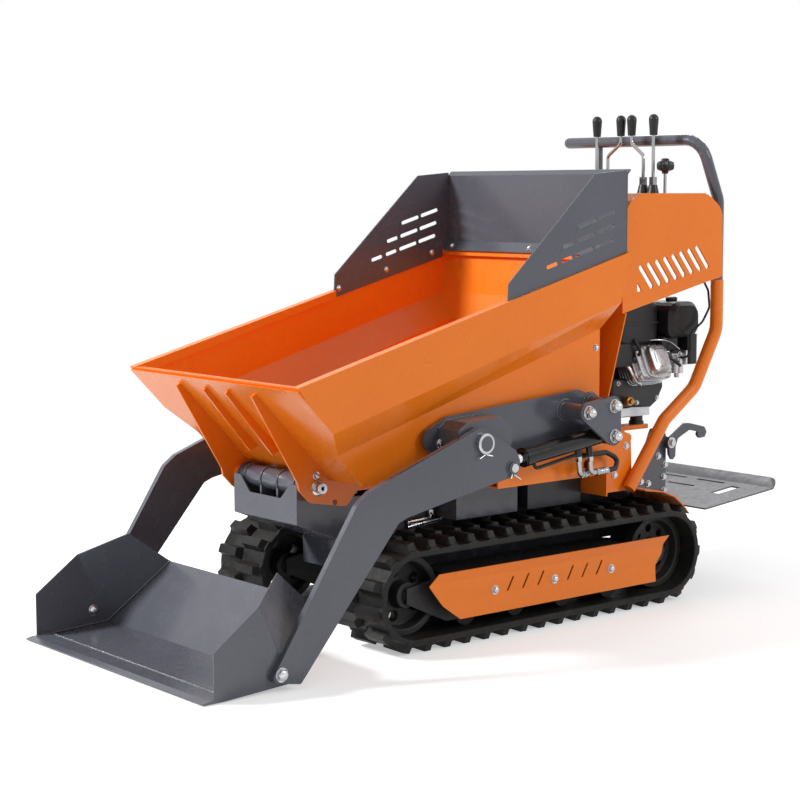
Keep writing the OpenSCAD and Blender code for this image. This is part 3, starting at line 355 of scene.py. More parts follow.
def makePiece(name, grids, look, body, sharp=38):
    # a grid is rows by columns of points in drawing millimetres; its columns close on themselves
    corners, quads, start = [], [], 0
    for g in grids:
        rows, cols = g.shape[:2]
        index = start + np.arange(rows * cols).reshape(rows, cols)
        beside = np.roll(index, -1, axis=1)
        quads.append(np.stack([index[:-1], beside[:-1], beside[1:], index[1:]], -1).reshape(-1, 4))
        corners.append(g.reshape(-1, 3))
        start += rows * cols
    mesh = bpy.data.meshes.new(name)
    mesh.from_pydata(toFrame(np.vstack(corners)), [], np.vstack(quads).tolist())
    shell = bmesh.new()
    shell.from_mesh(mesh)
    bmesh.ops.remove_doubles(shell, verts=shell.verts, dist=cornerGap)
    bmesh.ops.dissolve_degenerate(shell, edges=shell.edges, dist=cornerGap)
    bmesh.ops.recalc_face_normals(shell, faces=shell.faces)
    shell.to_mesh(mesh)
    shell.free()
    mesh.shade_smooth()
    mesh.set_sharp_from_angle(angle=math.radians(sharp))
    mesh.materials.append(finish[look])
    piece = bpy.data.objects.new(name, mesh)
    bpy.context.scene.collection.objects.link(piece)
    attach(piece, body)
    return piece


def unit(v):
    v = np.asarray(v, float)
    return v / np.linalg.norm(v, axis=-1, keepdims=True)


def around(count):
    return np.linspace(0, 2 * np.pi, count, endpoint=False)


def squareTo(axis):
    # the axis at length one and two directions square to it; no axis here lies along the helper direction
    axis = unit(axis)
    side = unit(np.cross(axis, (0.31, 0.17, 0.93)))
    return axis, side, np.cross(axis, side)


def turned(centre, axis, profile, sides=36):
    # turned on a lathe: point = centre + axis * height + ring * radius, with the ring's angle as second
    # parameter; where the profile's third number is one, the radius grows to a hexagon: radius over cosine of
    # the angle to the middle of the nearest flat
    axis, side, up = squareTo(axis)
    a = around(sides)
    ring = side * np.cos(a)[:, None] + up * np.sin(a)[:, None]
    table = np.array([tuple(p) + (0,) * (3 - len(p)) for p in profile], float)
    flat = 1 / np.cos((a + np.pi / 6) % (np.pi / 3) - np.pi / 6)
    radius = table[:, :1] * (1 + table[:, 2:] * (flat - 1))
    return np.asarray(centre, float) + table[:, 1][:, None, None] * axis + radius[:, :, None] * ring


def roundPath(points, bend, steps=8):
    # straight runs joined by arcs: each corner is cut back by bend * tan(half its turn) and turned on radius
    # bend
    points = np.asarray(points, float)
    run = unit(np.diff(points, axis=0))
    d0, d1, corner = run[:-1], run[1:], points[1:-1]
    turn = np.arccos(np.clip((d0 * d1).sum(1), -1, 1))
    start = corner - d0 * (bend * np.tan(turn / 2))[:, None]
    inward = d1 - d0 * (d0 * d1).sum(1)[:, None]
    inward = inward / np.maximum(np.linalg.norm(inward, axis=1, keepdims=True), 1e-9)
    f = turn[:, None] * np.linspace(0, 1, steps + 1)
    arc = (start[:, None] + d0[:, None] * (bend * np.sin(f))[..., None]
           + inward[:, None] * (bend * (1 - np.cos(f)))[..., None])
    return np.vstack([points[:1], arc.reshape(-1, 3), points[-1:]])


def evenly(path, gap):
    # the same path with stations at an even distance, and each station's distance from the start
    path = np.asarray(path, float)
    along = np.concatenate([[0], np.cumsum(np.linalg.norm(np.diff(path, axis=0), axis=1))])
    count = max(2, int(round(along[-1] / gap)) + 1)
    s = np.linspace(0, along[-1], count)
    return np.stack([np.interp(s, along, path[:, k]) for k in range(3)], 1), s


def swept(path, radius, sides=12, up=(0.23, 0.31, 0.92), closed=False):
    # round section carried along a path: point = station + (across * cos a + above * sin a) * radius(station)
    path = np.asarray(path, float)
    if closed:
        ahead = np.roll(path, -1, axis=0) - np.roll(path, 1, axis=0)
    else:
        ahead = np.gradient(path, axis=0)
    ahead = unit(ahead)
    across = unit(np.cross(ahead, up))
    above = np.cross(across, ahead)
    a = around(sides)
    ring = across[:, None] * np.cos(a)[:, None] + above[:, None] * np.sin(a)[:, None]
    radius = np.broadcast_to(np.asarray(radius, float), len(path))
    grid = path[:, None] + ring * radius[:, None, None]
    if closed:
        return np.concatenate([grid, grid[:1]])
    caps = [np.repeat(path[k][None, None], sides, axis=1) for k in (0, -1)]
    return np.concatenate([caps[0], grid, caps[1]])


def wire(path, radius, gap, sides):
    return swept(evenly(path, gap)[0], radius, sides)


# fastener heads: how deep each stage stands in the one below, and its broken edge as shares of its size
headRule = dict(washerSunk=0.5, washerEdge=(0.97, 0.8), hexSunk=0.4, hexEdge=(0.98, 0.09), domeSunk=0.2,
                domeSteps=7)


def headProfile(f, rule=headRule):
    # washer, hexagon and dome, from the seat outwards
    washerR, h = f["washer"]
    face, rim = rule["washerEdge"]
    rows = [(0, -rule["washerSunk"]), (washerR, -rule["washerSunk"]), (washerR, h * rim), (washerR * face, h)]
    if "flats" in f:
        r, top = f["flats"] / 2, h + f["tall"]
        face, rim = rule["hexEdge"]
        rows += [(r, h - rule["hexSunk"], 1), (r, top - rim * f["flats"], 1), (r * face, top)]
        h = top
    if "dome" in f:
        r, tall = f["dome"]
        t = np.linspace(0, np.pi / 2, rule["domeSteps"])
        rows += [(r, h - rule["domeSunk"])] + [(r * math.cos(x), h + tall * math.sin(x)) for x in t]
    else:
        rows += [(0, h)]
    return rows


fasteners = {
    # cap nuts on the triangular side plates
    "plateNuts": dict(body="chassis", facing=(0, 1, 0), washer=(17, 3), flats=27, tall=9, dome=(12.6, 11.5),
                      spots=[(-60, 384, 528), (-148, 384, 538), (-150, 384, 464)]),
    "armTipNuts": dict(body="loader", facing=(0, 1, 0), washer=(16, 2.4), flats=24, tall=6, dome=(11.7, 4.4),
                       spots=[(862, 395, 40)]),
    "coverBolts": dict(body="chassis", facing=(0, 1, 0), washer=(11.5, 1.8), flats=15, tall=4.5,
                       dome=(6.6, 2.4), spots=[(184, 321, 118), (-12, 321, 118), (-208, 321, 118)]),
    "bracketBolts": dict(body="chassis", facing=(0, 1, 0), washer=(9.6, 1.6), flats=13, tall=5.5,
                         spots=[(-576, 134, 349), (-603, 134, 324), (-598, 134, 291), (-538, 134, 278),
                                (-510, 134, 286), (-600, 134, 254)]),
    "bayBolts": dict(body="chassis", facing=(0, 1, 0), washer=(9.6, 1.6), flats=13, tall=5.5,
                     spots=[(-326, 253, 411), (-285, 253, 340)]),
    "mountBolts": dict(body="chassis", facing=(0, 1, 0), washer=(12.5, 2), flats=17, tall=7,
                       spots=[(346, 312, 481)]),
    "guardBolts": dict(body="skip", facing=(0, -1, 0), washer=(8.5, 1.2), dome=(7, 4.4),
                       spots=[(144, 331.6, 807), (-16, 331.6, 851), (-175, 331.6, 893)]),
    "skipSideBolts": dict(body="skip", facing=(0, 1, 0), washer=(8.5, 1.4), flats=12, tall=4.5, dome=(5, 1.6),
                          spots=[(-186, 282, 672)]),
    "hingeNuts": dict(body="skip", facing=(0, 1, 0), washer=(9.6, 1.6), flats=13, tall=6, dome=(5.4, 2.2),
                      spots=[(588, 156, 412)]),
    "shovelBolts": dict(body="loader", facing=(0, -1, 0), washer=(13.5, 1.2), dome=(12, 9),
                        spots=[(868, 376, 48)]),
}


def makeFasteners(table):
    for name, f in table.items():
        profile, facing = headProfile(f), np.array(f["facing"])
        grids = [turned(np.array(s) * flip, facing * flip, profile) for flip in flips for s in f["spots"]]
        makePiece(name, grids, "zincPlate", f["body"])
    print("fasteners:", ", ".join(table))


makeFasteners(fasteners)

hookBolt = dict(seat=(-610, 152, 384), facing=(0, 1, 0), washer=(15, 2.2), flats=17, tall=6.5)
makePiece("hookBolt", [turned(hookBolt["seat"], hookBolt["facing"], headProfile(hookBolt))], "zincPlate",
          "chassis")

# sleeve ends over the skip's hinge pin, with a turned groove; its two places count back from the end
hingeEnds = dict(at=(584, 384), seat=156, end=177.5, sunk=0.5, radius=13.7, washer=18.5, washerTall=3.2,
                 washerEdge=(0.8, 0.6), groove=(6.5, 4.1), flank=0.5, cut=1.6, dimple=(5.5, 4.5, 1.5))


def makeHingeEnds(h):
    x, z = h["at"]
    tall, r, cut = h["end"] - h["seat"], h["radius"], h["cut"]
    far, near = h["groove"]
    mouth, floor, deep = h["dimple"]
    washer, washerTall, (face, rim) = h["washer"], h["washerTall"], h["washerEdge"]
    profile = [(0, -h["sunk"]), (washer, -h["sunk"]), (washer, washerTall - rim), (washer - face, washerTall),
               (r, washerTall),
               (r, tall - far), (r - cut, tall - far + h["flank"]),
               (r - cut, tall - near - h["flank"]), (r, tall - near),
               (r, tall - cut), (r - cut, tall), (mouth, tall), (floor, tall - deep), (0, tall - deep)]
    makePiece("hingeEnds", [turned((x, y * h["seat"], z), (0, y, 0), profile) for y in leftRight],
              "zincPlate", "skip")


makeHingeEnds(hingeEnds)

# bright rings round the arm pivots, and the pins' ends under the lift rods
pivotRings = dict(at=(288, 485), inner=17.1, outer=24.0, seat=395.6, end=407.4, outEdge=1.4, inEdge=0.9,
                  sides=48)
rodPinEnds = dict(at=(198, 420), radius=10.5, seat=403.0, end=406.6, sunk=0.5, edge=1.2,
                  dimple=(3, 2.2, 0.8))


def makePivotRings(p):
    x, z = p["at"]
    inner, outer, tall = p["inner"], p["outer"], p["end"] - p["seat"]
    # closed section: out along the seat, up the outside, in over the chamfered face and back down the bore
    section = [(inner, 0), (outer, 0), (outer, tall - p["outEdge"]), (outer - p["outEdge"], tall),
               (inner + p["inEdge"], tall), (inner, tall - p["inEdge"]), (inner, 0)]
    rings = [turned((x, y * p["seat"], z), (0, y, 0), section, p["sides"]) for y in leftRight]
    makePiece("pivotRings", rings, "zincPlate", "chassis")


def makeRodPinEnds(p):
    x, z = p["at"]
    tall, r = p["end"] - p["seat"], p["radius"]
    mouth, floor, deep = p["dimple"]
    section = [(0, -p["sunk"]), (r, -p["sunk"]), (r, tall - p["edge"]), (r - p["edge"], tall), (mouth, tall),
               (floor, tall - deep), (0, tall - deep)]
    ends = [turned((x, y * p["seat"], z), (0, y, 0), section) for y in leftRight]
    makePiece("rodPinEnds", ends, "zincPlate", "loader")


makePivotRings(pivotRings)
makeRodPinEnds(rodPinEnds)

# split pins: two legs of one wire, spread apart below the ring or boss that they hold
splitPins = {
    "pivotSplitPins": dict(body="chassis",
                           legs=[[(289, 402, 470), (290, 402, 459), (309, 404, 452)],
                                 [(286, 402, 470), (285, 402, 459), (268, 404, 455)]]),
    "rodSplitPins": dict(body="loader",
                         legs=[[(199, 400, 414), (197, 400, 404), (179, 403, 392)],
                               [(203, 400, 414), (204, 400, 404), (209, 402, 396)]]),
}
pinRule = dict(wire=1.9, bend=4, steps=6)


def makeSplitPins(table, rule):
    for name, p in table.items():
        legs = [roundPath(np.array(leg) * flip, rule["bend"], rule["steps"])
                for flip in flips for leg in p["legs"]]
        wires = [wire(leg, rule["wire"], gap=1.5, sides=10) for leg in legs]
        makePiece(name, wires, "zincPlate", p["body"])


makeSplitPins(splitPins, pinRule)
print("pins and rings made")

# plated fittings on the lift cylinders' hoses: a nut at the port, the elbow and a ridged crimp sleeve
hoseFittings = dict(
    base=(-150, 464), rod=(198, 420), across=340, bend=12,
    ports=[dict(along=46, below=50.3, drop=88, then=[(-200, 340, 374)], sleeve=(50, 90)),
           dict(along=84, below=42.3, drop=82, then=[(-118, 322, 366), (-150, 300, 384)], sleeve=(50, 80))],
    nutFlats=17, nutTall=12, nutSunk=5, nutEdge=(0.97, 1.5),
    elbow=6.8, crimp=8.6, ridge=0.55, ridges=3, land=8,
)


def makeHoseFittings(h):
    (bx, bz), (rx, rz) = h["base"], h["rod"]
    ahead = unit((rx - bx, 0, rz - bz))
    down = np.array((ahead[2], 0, -ahead[0]))
    start = np.array((bx, h["across"], bz), float)
    r, sunk, top = h["nutFlats"] / 2, h["nutSunk"], h["nutTall"] - h["nutSunk"]
    face, rim = h["nutEdge"]
    nut = [(0, -sunk), (r, -sunk, 1), (r, top - rim, 1), (r * face, top), (0, top)]
    grids = []
    for port in h["ports"]:
        seat = start + ahead * port["along"] + down * port["below"]
        low = start + ahead * port["along"] + down * port["drop"]
        path, s = evenly(roundPath([seat, low] + port["then"], h["bend"]), gap=1.0)
        s0, s1 = port["sleeve"]
        keep = s <= s1
        path, s = path[keep], s[keep]
        # the elbow's radius steps up to the sleeve, and the sleeve carries pressed rings between its plain ends
        share = np.clip((s - s0 - h["land"]) / (s1 - s0 - 2 * h["land"]), 0, 1)
        ridge = h["ridge"] * np.cos(share * 2 * np.pi * h["ridges"])
        radius = h["elbow"] + (s > s0) * (h["crimp"] - h["elbow"] + ridge)
        for flip in flips:
            grids.append(swept(path * flip, radius, sides=20, up=(0.1, 0.7, 0.7 * flip[1])))
            grids.append(turned(seat * flip, down, nut))
    makePiece("hoseFittings", grids, "steelFitting", "lift_barrels", sharp=30)


makeHoseFittings(hoseFittings)

# pressure elbows above the left track's inner edge, from a union on the frame rail to the nose's cheek
railElbows = dict(
    bend=8, elbow=5.2, crimp=8.0, nutFlats=17, nutTall=12, nutEdge=(0.97, 1), nutAbove=20,
    union=[(0, 0), (10, 0), (10, 5), (9, 6), (0, 6)], unionSunk=0.5,
    runs=[[(226, 125, 298), (226, 134, 298), (226, 134, 273), (262, 134, 270), (301, 134, 268)],
          [(190, 125, 304), (190, 135, 304), (190, 135, 268), (226, 135, 265), (301, 135, 256)]],
    sleeves=[(48, 92), (62, 106)],
)


def makeRailElbows(e):
    r, tall, (face, rim) = e["nutFlats"] / 2, e["nutTall"], e["nutEdge"]
    nut = [(0, 0), (r * face, 0), (r, rim, 1), (r, tall - rim, 1), (r * face, tall), (0, tall)]
    grids = []
    for run, (s0, s1) in zip(e["runs"], e["sleeves"]):
        path, s = evenly(roundPath(run, e["bend"]), gap=1.0)
        radius = e["elbow"] + (e["crimp"] - e["elbow"]) * ((s > s0) & (s < s1))
        grids.append(swept(path, radius, sides=18))
        grids.append(turned(np.array(run[2]) + (0, 0, e["nutAbove"]), (0, 0, -1), nut))
        grids.append(turned(np.array(run[0]) - (0, e["unionSunk"], 0), (0, 1, 0), e["union"]))
    makePiece("railElbows", grids, "steelFitting", "chassis", sharp=30)


makeRailElbows(railElbows)
print("hose fittings made")

# weld beads: a round run whose radius swells once for every drop of metal; a ring has a centre and a radius
welds = {
    "shovelWelds": dict(body="loader", bead=3.2, drop=6.5,
                        lines=[[(1016, 375, 7), (829, 375, 17)], [(829, 375, 17), (714, 271, 166)],
                               [(985, 374, 8), (985, 0, 8)]]),
    "mountWelds": dict(body="chassis", bead=3.4, drop=7,
                       lines=[[(345, 302, 515), (320, 302, 533), (215, 302, 540), (176, 302, 505),
                               (182, 302, 467)]],
                       rings=[((-60, 302, 528), 25.5), ((-148, 302, 538), 25.5),
                              ((-60, 374, 528), 20), ((-148, 374, 538), 20)]),
    "armWelds": dict(body="loader", bead=2.4, drop=5.5, rings=[((198, 395, 420), 16)]),
}
beadRule = dict(perDrop=5, swell=0.16, waver=0.05, waverTurn=0.37, sides=8, ringPoints=121)


def beadGrid(points, bead, drop, rule, closed=False):
    path, s = evenly(points, drop / rule["perDrop"])
    if closed:
        path, s = path[:-1], s[:-1]
    swell = 1 + rule["swell"] * np.cos(2 * np.pi * s / drop) + rule["waver"] * np.sin(s * rule["waverTurn"])
    return swept(path, bead * swell, rule["sides"], closed=closed)


def makeWelds(table, rule):
    side, up = squareTo((0, 1, 0))[1:]
    a = np.linspace(0, 2 * np.pi, rule["ringPoints"])[:, None]
    circle = side * np.cos(a) + up * np.sin(a)
    for name, w in table.items():
        grids = []
        for flip in flips:
            for line in w.get("lines", []):
                grids.append(beadGrid(np.array(line) * flip, w["bead"], w["drop"], rule))
            for centre, r in w.get("rings", []):
                grids.append(beadGrid((np.array(centre) + r * circle) * flip, w["bead"], w["drop"], rule, True))
        makePiece(name, grids, "greyCoat", w["body"], sharp=60)


makeWelds(welds, beadRule)
print("welds made")


def bent(w, power):
    # sine or cosine bent towards a square: sign * size to the power 2 over n
    return np.sign(w) * np.abs(w) ** (2 / power)


def softBox(centre, half, power=7, rows=25, cols=48):
    # super-ellipsoid: each axis is half size * bent sines and cosines of two angles, so corners stay round
    v = np.linspace(-np.pi / 2, np.pi / 2, rows)[:, None]
    u = around(cols)[None]
    grid = np.stack([bent(np.cos(v), power) * bent(np.cos(u), power),
                     bent(np.cos(v), power) * bent(np.sin(u), power),
                     bent(np.sin(v), power) * np.ones_like(u)], -1)
    return np.asarray(centre, float) + grid * np.asarray(half, float)


def slab(outline, y0, y1, edge, gap=4.0):
    # flat outline in x and z carried from y0 to y1; its rim draws in towards the middle by the edge's width
    shape = np.array([(x, 0, z) for x, z in outline + outline[:1]], float)
    ring = evenly(shape, gap)[0][:-1]
    mid = ring.mean(0)
    away = ring - mid
    size = np.linalg.norm(away, axis=1, keepdims=True)
    drawn = mid + away * (1 - edge / np.maximum(size, edge * 1.5))
    s = np.sign(y1 - y0)
    rows = [(mid, y0), (drawn, y0), (ring, y0 + s * edge), (ring, y1 - s * edge), (drawn, y1), (mid, y1)]
    return np.stack([np.broadcast_to(p, ring.shape) + (0, y, 0) for p, y in rows])


def smoothPath(points, steps=14):
    # smooth run through the points: cubic between two of them, with a slope at each of half the step between
    # its neighbours
    p = np.asarray(points, float)
    p = np.vstack([2 * p[0] - p[1], p, 2 * p[-1] - p[-2]])
    t = np.linspace(0, 1, steps, endpoint=False)[None, :, None]
    a, b, c, d = (p[k:len(p) - 3 + k][:, None] for k in range(4))
    run = 0.5 * (2 * b + (c - a) * t + (2 * a - 5 * b + 4 * c - d) * t ** 2
                 + (3 * b - a - 3 * c + d) * t ** 3)
    return np.vstack([run.reshape(-1, 3), p[-2:-1]])


def lobedKnob(k):
    # knob whose radius swells once for each lobe: radius * (1 + lobe * cos(lobes * angle) * share of the row);
    # a row is radius, height and share
    u = around(k["sides"])[None]
    table = np.array(k["rows"], float)
    r = table[:, :1] * (1 + k["lobe"] * np.cos(k["lobes"] * u) * table[:, 2:])
    return np.stack([r * np.cos(u), r * np.sin(u), table[:, 1:2] + 0 * u], -1) + k["at"]


# engine, in drawing millimetres; the bore's own axes are across, out along the bore, and rise
engine = dict(
    bore=(-516, 95, 577), lean=25,
    head=[      # flange, head, the cover's lip and the cover; a row is distance out, half width, half height
        dict(power=6, shift=0, rows=[(58, 0, 0), (58, 63, 48), (59, 64, 49), (66, 64, 49), (67, 63, 48),
                                     (67, 0, 0)]),
        dict(power=6, shift=0, rows=[(66, 0, 0), (66, 55, 43), (80, 55, 43), (82, 53, 41), (82, 0, 0)]),
        dict(power=5, shift=-6, rows=[(80, 0, 0), (80, 45, 45), (81, 46, 46), (87, 46, 46), (88, 45, 45),
                                      (88, 0, 0)]),
        dict(power=4.5, shift=-6, rows=[(86, 0, 0), (86, 37, 40), (98, 35, 38.5), (104, 33, 36.5),
                                        (106, 30, 33), (106.5, 21, 26), (108, 19, 24), (108.4, 17, 22),
                                        (108.4, 0, 0)]),
    ],
    fins=dict(outs=(8, 17, 26, 35, 44, 51.5), half=(63, 48), thick=3.4, edge=(1.0, 0.8), power=6),
    boreBolts=[     # at the corners of the head and of its cover: across, out, rise
        dict(at=(52, 67, 39), shift=0, washer=(8, 1.4), flats=12, tall=6),
        dict(at=(34, 88, 34), shift=-6, washer=(6.5, 0.8), flats=9, tall=4.5),
    ],
    sideBolts=dict(facing=(0, 1, 0), washer=(6.5, 0.8), flats=9, tall=4.5,
                   spots=[(-588, 196, 610), (-588, 196, 628), (-420, 135, 555), (-500, 135, 556),
                          (-578, 135, 552), (-566, 135, 508), (-490, 135, 500), (-420, 135, 504)]),
    shell=[         # tank, its seam and three ducts below it: centre, half size, power, rows
        ((-470, 92, 713), (74, 76, 60), 7, 25),
        ((-470, 92, 713), (77, 79, 4), 9, 13),
        ((-548, 118, 646), (26, 44, 14), 6, 25),
        ((-470, 128, 648), (52, 30, 10), 6, 25),
        ((-572, 136, 656), (34, 46, 22), 6, 25),
    ],
    silencer=dict(box=((-402, 138, 632), (44, 28, 32), 8),
                  pipe=[(-448, 150, 620), (-476, 150, 615)], pipeR=12),
    recoil=dict(centre=(-580, 0, 545), facing=(-1, 0, 0), sides=72,
                drum=[(0, 0), (92, 0), (92, 22), (89, 29), (82, 34), (58, 41), (44, 42), (38, 39), (34, 35),
                      (0, 35)],
                slats=12, slatR=3.2, slatEnds=((46, 42.5), (78, 37.2)),     # distance from the middle, height
                grip=[(-600, 84, 600), (-600, 112, 612)], gripR=7),
    sump=dict(outline=[(-398, 566), (-592, 566), (-594, 536), (-574, 500), (-548, 484), (-398, 492)],
              across=(108, 135), edge=5),
    foot=dict(outline=[(-562, 487), (-562, 460), (-378, 460), (-378, 487)], across=(64, 117), edge=3),
    rods=dict(
        breather=(5.2, [(-424, 140, 612), (-436, 158, 596), (-452, 160, 572), (-484, 152, 551),
                        (-512, 128, 545), (-516, 100, 545)]),
        governor=(2.0, [(-498, 150, 664), (-520, 176, 668), (-560, 184, 662), (-598, 186, 640)])),
    lines=dict(
        sparkLead=(4.4, [(-474, 150, 622), (-462, 172, 640), (-446, 172, 664), (-440, 150, 684)]),
        fuelLine=(4.0, [(-508, 150, 660), (-540, 172, 640), (-572, 192, 610), (-590, 196, 598),
                        (-598, 186, 596)])),
    plugBoot=dict(at=(-476, 146, 616), facing=(0, 0.5, 0.86),
                  rows=[(0, -8), (9, -8), (9, 8), (7, 14), (0, 14)]),
    wingKnob=dict(at=(-602, 152, 762), lobes=2, lobe=0.25, sides=48,
                  rows=[(0, -2, 0), (9, -2, 0), (9, 3, 0), (14, 5, 1), (15, 12, 1), (12, 15, 1),
                        (0, 15.5, 1)]),
    union=dict(at=(-446, 150, 508), facing=(0, 1, 0),
               rows=[(0, -20), (9, -20), (9, -8), (11, -8, 1), (11, 4, 1), (7, 5), (7, 14), (0, 14)]),
)


def onBore(e, across, out, rise):
    t = math.radians(e["lean"])
    return np.stack(np.broadcast_arrays(e["bore"][0] + across,
                                        e["bore"][1] + out * math.cos(t) - rise * math.sin(t),
                                        e["bore"][2] + out * math.sin(t) + rise * math.cos(t)), -1)


def boreLoft(e, rows, power, shift=0.0, cols=64):
    # sections across the bore: super-ellipse of half width and half height, one for each distance out
    u = around(cols)[None]
    table = np.array(rows, float)
    out, wide, tall = (table[:, k][:, None] for k in range(3))
    return onBore(e, shift + wide * bent(np.cos(u), power), out + 0 * u, tall * bent(np.sin(u), power))


def makeHead(e):
    head = [boreLoft(e, h["rows"], h["power"], h["shift"]) for h in e["head"]]
    rocker = makePiece("rockerCover", head, "castAluminium", "chassis", sharp=32)
    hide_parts("engine_head")
    f = e["fins"]
    (w, h), thick, (back, edge) = f["half"], f["thick"], f["edge"]
    fins = [boreLoft(e, [(o, 0, 0), (o, w - back, h - back), (o + edge, w, h), (o + thick - edge, w, h),
                         (o + thick, w - back, h - back), (o + thick, 0, 0)], f["power"]) for o in f["outs"]]
    makePiece("coolingFins", fins, "castAluminium", "chassis", sharp=32)
    t = math.radians(e["lean"])
    outward = (0, math.cos(t), math.sin(t))
    bolts = []
    for b in e["boreBolts"]:
        x, out, z = b["at"]
        bolts += [turned(onBore(e, b["shift"] + i * x, out, j * z), outward, headProfile(b))
                  for i in (-1, 1) for j in (-1, 1)]
    b = e["sideBolts"]
    bolts += [turned(spot, b["facing"], headProfile(b)) for spot in b["spots"]]
    makePiece("engineBolts", bolts, "zincPlate", "chassis")


def makeStarter(e):
    r, q = e["recoil"], e["silencer"]
    drum = [turned(r["centre"], r["facing"], r["drum"], r["sides"])]
    for a in around(r["slats"]):
        ends = [(-height, reach * math.cos(a), reach * math.sin(a)) for reach, height in r["slatEnds"]]
        drum.append(wire(np.array(r["centre"]) + ends, r["slatR"], gap=4, sides=10))
    drum.append(wire(r["grip"], r["gripR"], gap=3, sides=14))
    drum += [softBox(*q["box"]), wire(q["pipe"], q["pipeR"], gap=3, sides=20)]
    starter = makePiece("starterAndSilencer", drum, "mouldedBlack", "chassis", sharp=40)
    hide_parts("engine_shroud")


def makeEngine(e):
    makeHead(e)
    shell = [softBox(*box) for box in e["shell"]]
    makePiece("fuelShell", shell, "mouldedBlack", "chassis", sharp=50)
    makeStarter(e)
    s, f = e["sump"], e["foot"]
    sump = slab(s["outline"], *s["across"], s["edge"])
    makePiece("sumpCover", [sump], "darkCast", "chassis", sharp=30)
    feet = [slab(f["outline"], *(y * a for a in f["across"]), f["edge"]) for y in leftRight]
    makePiece("engineFeet", feet, "castAluminium", "chassis", sharp=30)
    rods, lines = ([wire(smoothPath(points), radius, gap=2.5, sides=12)
                    for radius, points in e[kind].values()] for kind in ("rods", "lines"))
    makePiece("engineRods", rods, "zincPlate", "chassis", sharp=60)
    boot, union = (turned(p["at"], p["facing"], p["rows"]) for p in (e["plugBoot"], e["union"]))
    makePiece("engineLines", lines + [boot], "hoseRubber", "chassis", sharp=50)
    makePiece("cleanerKnob", [lobedKnob(e["wingKnob"])], "mouldedBlack", "chassis", sharp=45)
    makePiece("brassUnion", [union], "brassFitting", "chassis", sharp=35)
    print("engine dressed")


makeEngine(engine)

# star knob on the throttle rod: five lobes, swelling over the middle of its height
starKnob = dict(at=(-500, 217, 1114), lobes=5, lobe=0.26, sides=100,
                rows=[(0, -12, 0), (7.5, -12, 0), (9, -6, 0), (14, -3.5, 0.5), (17.6, -1, 1), (18.6, 3, 1),
                      (18.9, 8, 1), (18.6, 13, 1), (17.4, 17.5, 1), (13, 20.5, 0.6), (10.5, 22, 0),
                      (9.8, 25.5, 0), (7, 27.5, 0), (0, 28, 0)])
makePiece("starKnob", [lobedKnob(starKnob)], "mouldedBlack", "chassis", sharp=50)

# folded strip along the rear guard's foot, leaning forward over the skip's rim, with the side guards' bolts
guardStrip = dict(top=(-234.8, 923), foot=(-215.8, 898), half=330.5, thick=2.2, stations=40,
                  bolts=(-306, 0, 306))


def makeGuardStrip(g):
    (x0, z0), (x1, z1) = g["top"], g["foot"]
    leanX, leanZ = unit((z0 - z1, x1 - x0)) * g["thick"]
    section = np.array([(x0, z0), (x1, z1), (x1 + leanX, z1 + leanZ), (x0 + leanX, z0 + leanZ)])
    end = np.broadcast_to(section.mean(0), section.shape)
    stations = np.linspace(-g["half"], g["half"], g["stations"])
    rows = [end] + [section] * len(stations) + [end]
    across = np.concatenate([stations[:1], stations, stations[-1:]])
    grid = np.stack([np.stack([s[:, 0], np.full(4, y), s[:, 1]], -1) for s, y in zip(rows, across)])
    makePiece("guardStrip", [grid], "greyCoat", "skip", sharp=30)
    seats = [((x0 + x1) / 2 + leanX, y, (z0 + z1) / 2 + leanZ) for y in g["bolts"]]
    profile = headProfile(fasteners["guardBolts"])
    makePiece("rearGuardBolts", [turned(s, (leanX, 0, leanZ), profile) for s in seats], "zincPlate", "skip")


makeGuardStrip(guardStrip)
print("knob and guard strip made")

# rubber tracks: a belt round two axles with two staggered rows of moulded lugs; phase is the lug's place in a
# link, of the inner row and of the outer one
belts = dict(centres=840, axle=130, tip=130, lug=20, thick=14, inner=145, outer=325,
             links=39, phase=(0.75, 0.25), long=31, slope=6.5, ledge=7, flank=7, row=84, gap=6,
             rim=(1.5, 2.0), tie=4.0, plain=6, inRim=2.0)


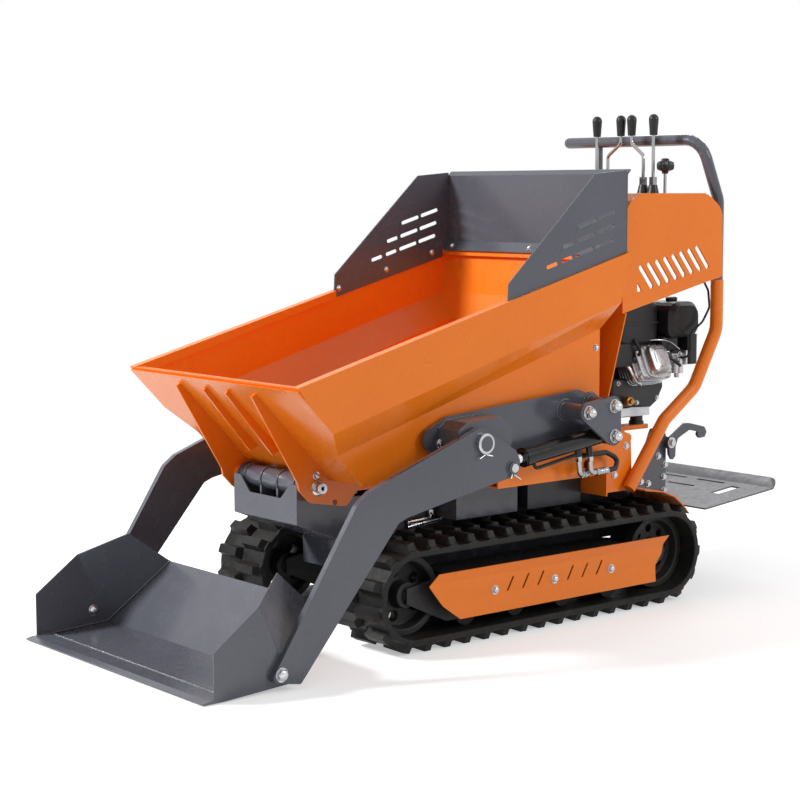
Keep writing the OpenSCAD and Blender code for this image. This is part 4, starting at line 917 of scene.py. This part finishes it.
def makeBelt(b, name, node, side):
    # parameters: distance round the loop and place across the belt;
    # height = belt + lug * trapezium along * trapezium across
    outR = b["tip"] - b["lug"]
    pitch = (2 * b["centres"] + 2 * np.pi * outR) / b["links"]
    half = b["long"] / 2
    cuts = np.array([-half, -half + b["slope"], half - b["slope"], half])
    marks = np.concatenate([(cuts + pitch * p) % pitch for p in b["phase"]]
                           + [np.linspace(0, pitch, b["plain"], endpoint=False)])
    s = (np.arange(b["links"])[:, None] * pitch + np.sort(marks)[None]).ravel()

    def lugAlong(shift):
        away = np.abs((s / pitch - shift + 0.5) % 1 - 0.5) * pitch
        return np.clip((half - away) / b["slope"], 0, 1)[:, None]

    y0, y1 = b["inner"], b["outer"]
    ledge0, ledge1 = y0 + b["ledge"], y1 - b["ledge"]
    end0, end1 = y0 + b["row"] + b["gap"], y1 - b["row"] - b["gap"]
    rim, drop = b["rim"]
    yOut = np.array([y0, y0 + rim, ledge0, ledge0 + b["flank"], y0 + b["row"], end0, y1 - b["row"],
                     ledge1 - b["flank"], ledge1, y1 - rim, y1])
    rowIn = np.clip(np.minimum(yOut - ledge0, end0 - yOut) / b["slope"], 0, 1)
    rowOut = np.clip(np.minimum(ledge1 - yOut, yOut - end1) / b["slope"], 0, 1)
    lugIn, lugOut = (lugAlong(p) for p in b["phase"])
    rise = b["lug"] * np.maximum(lugIn * rowIn, lugOut * rowOut)
    # a low rib ties each lug to the belt's edge, as moulded tracks have
    onLedgeIn, onLedgeOut = (yOut > y0) & (yOut <= ledge0), (yOut < y1) & (yOut >= ledge1)
    tie = b["tie"] * np.maximum(lugIn * onLedgeIn, lugOut * onLedgeOut)
    outer = outR - drop * ((yOut == y0) | (yOut == y1)) + np.maximum(rise, tie)
    yIn = np.array([y1, y1 - b["inRim"], y0 + b["inRim"], y0])
    inner = outR - b["thick"] + b["inRim"] * ((yIn == y0) | (yIn == y1)) + 0 * s[:, None]
    across = np.concatenate([yOut, yIn])
    reach = np.concatenate([outer, inner], 1)
    # the loop runs forward on the ground, up round the front axle, back on top and down round the rear axle
    c, arc = b["centres"] / 2, np.pi * outR
    front, top, rear = 2 * c, 2 * c + arc, 4 * c + arc
    legs = [s < front, s < top, s < rear]
    turn = np.select(legs, [0 * s, (s - front) / outR, np.pi + 0 * s], np.pi + (s - rear) / outR)[:, None]
    x = np.select(legs, [s - c, c + 0 * s, c - (s - top)], -c)[:, None]
    grid = np.stack([x + reach * np.sin(turn), side * across[None] + 0 * reach,
                     b["axle"] - reach * np.cos(turn)], -1)
    piece = makePiece(name, [np.concatenate([grid, grid[:1]])], "trackRubber", "chassis", sharp=30)
    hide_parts(node)


makeBelt(belts, "beltLeft", "track_l", 1)
makeBelt(belts, "beltRight", "track_r", -1)
print("tracks moulded")
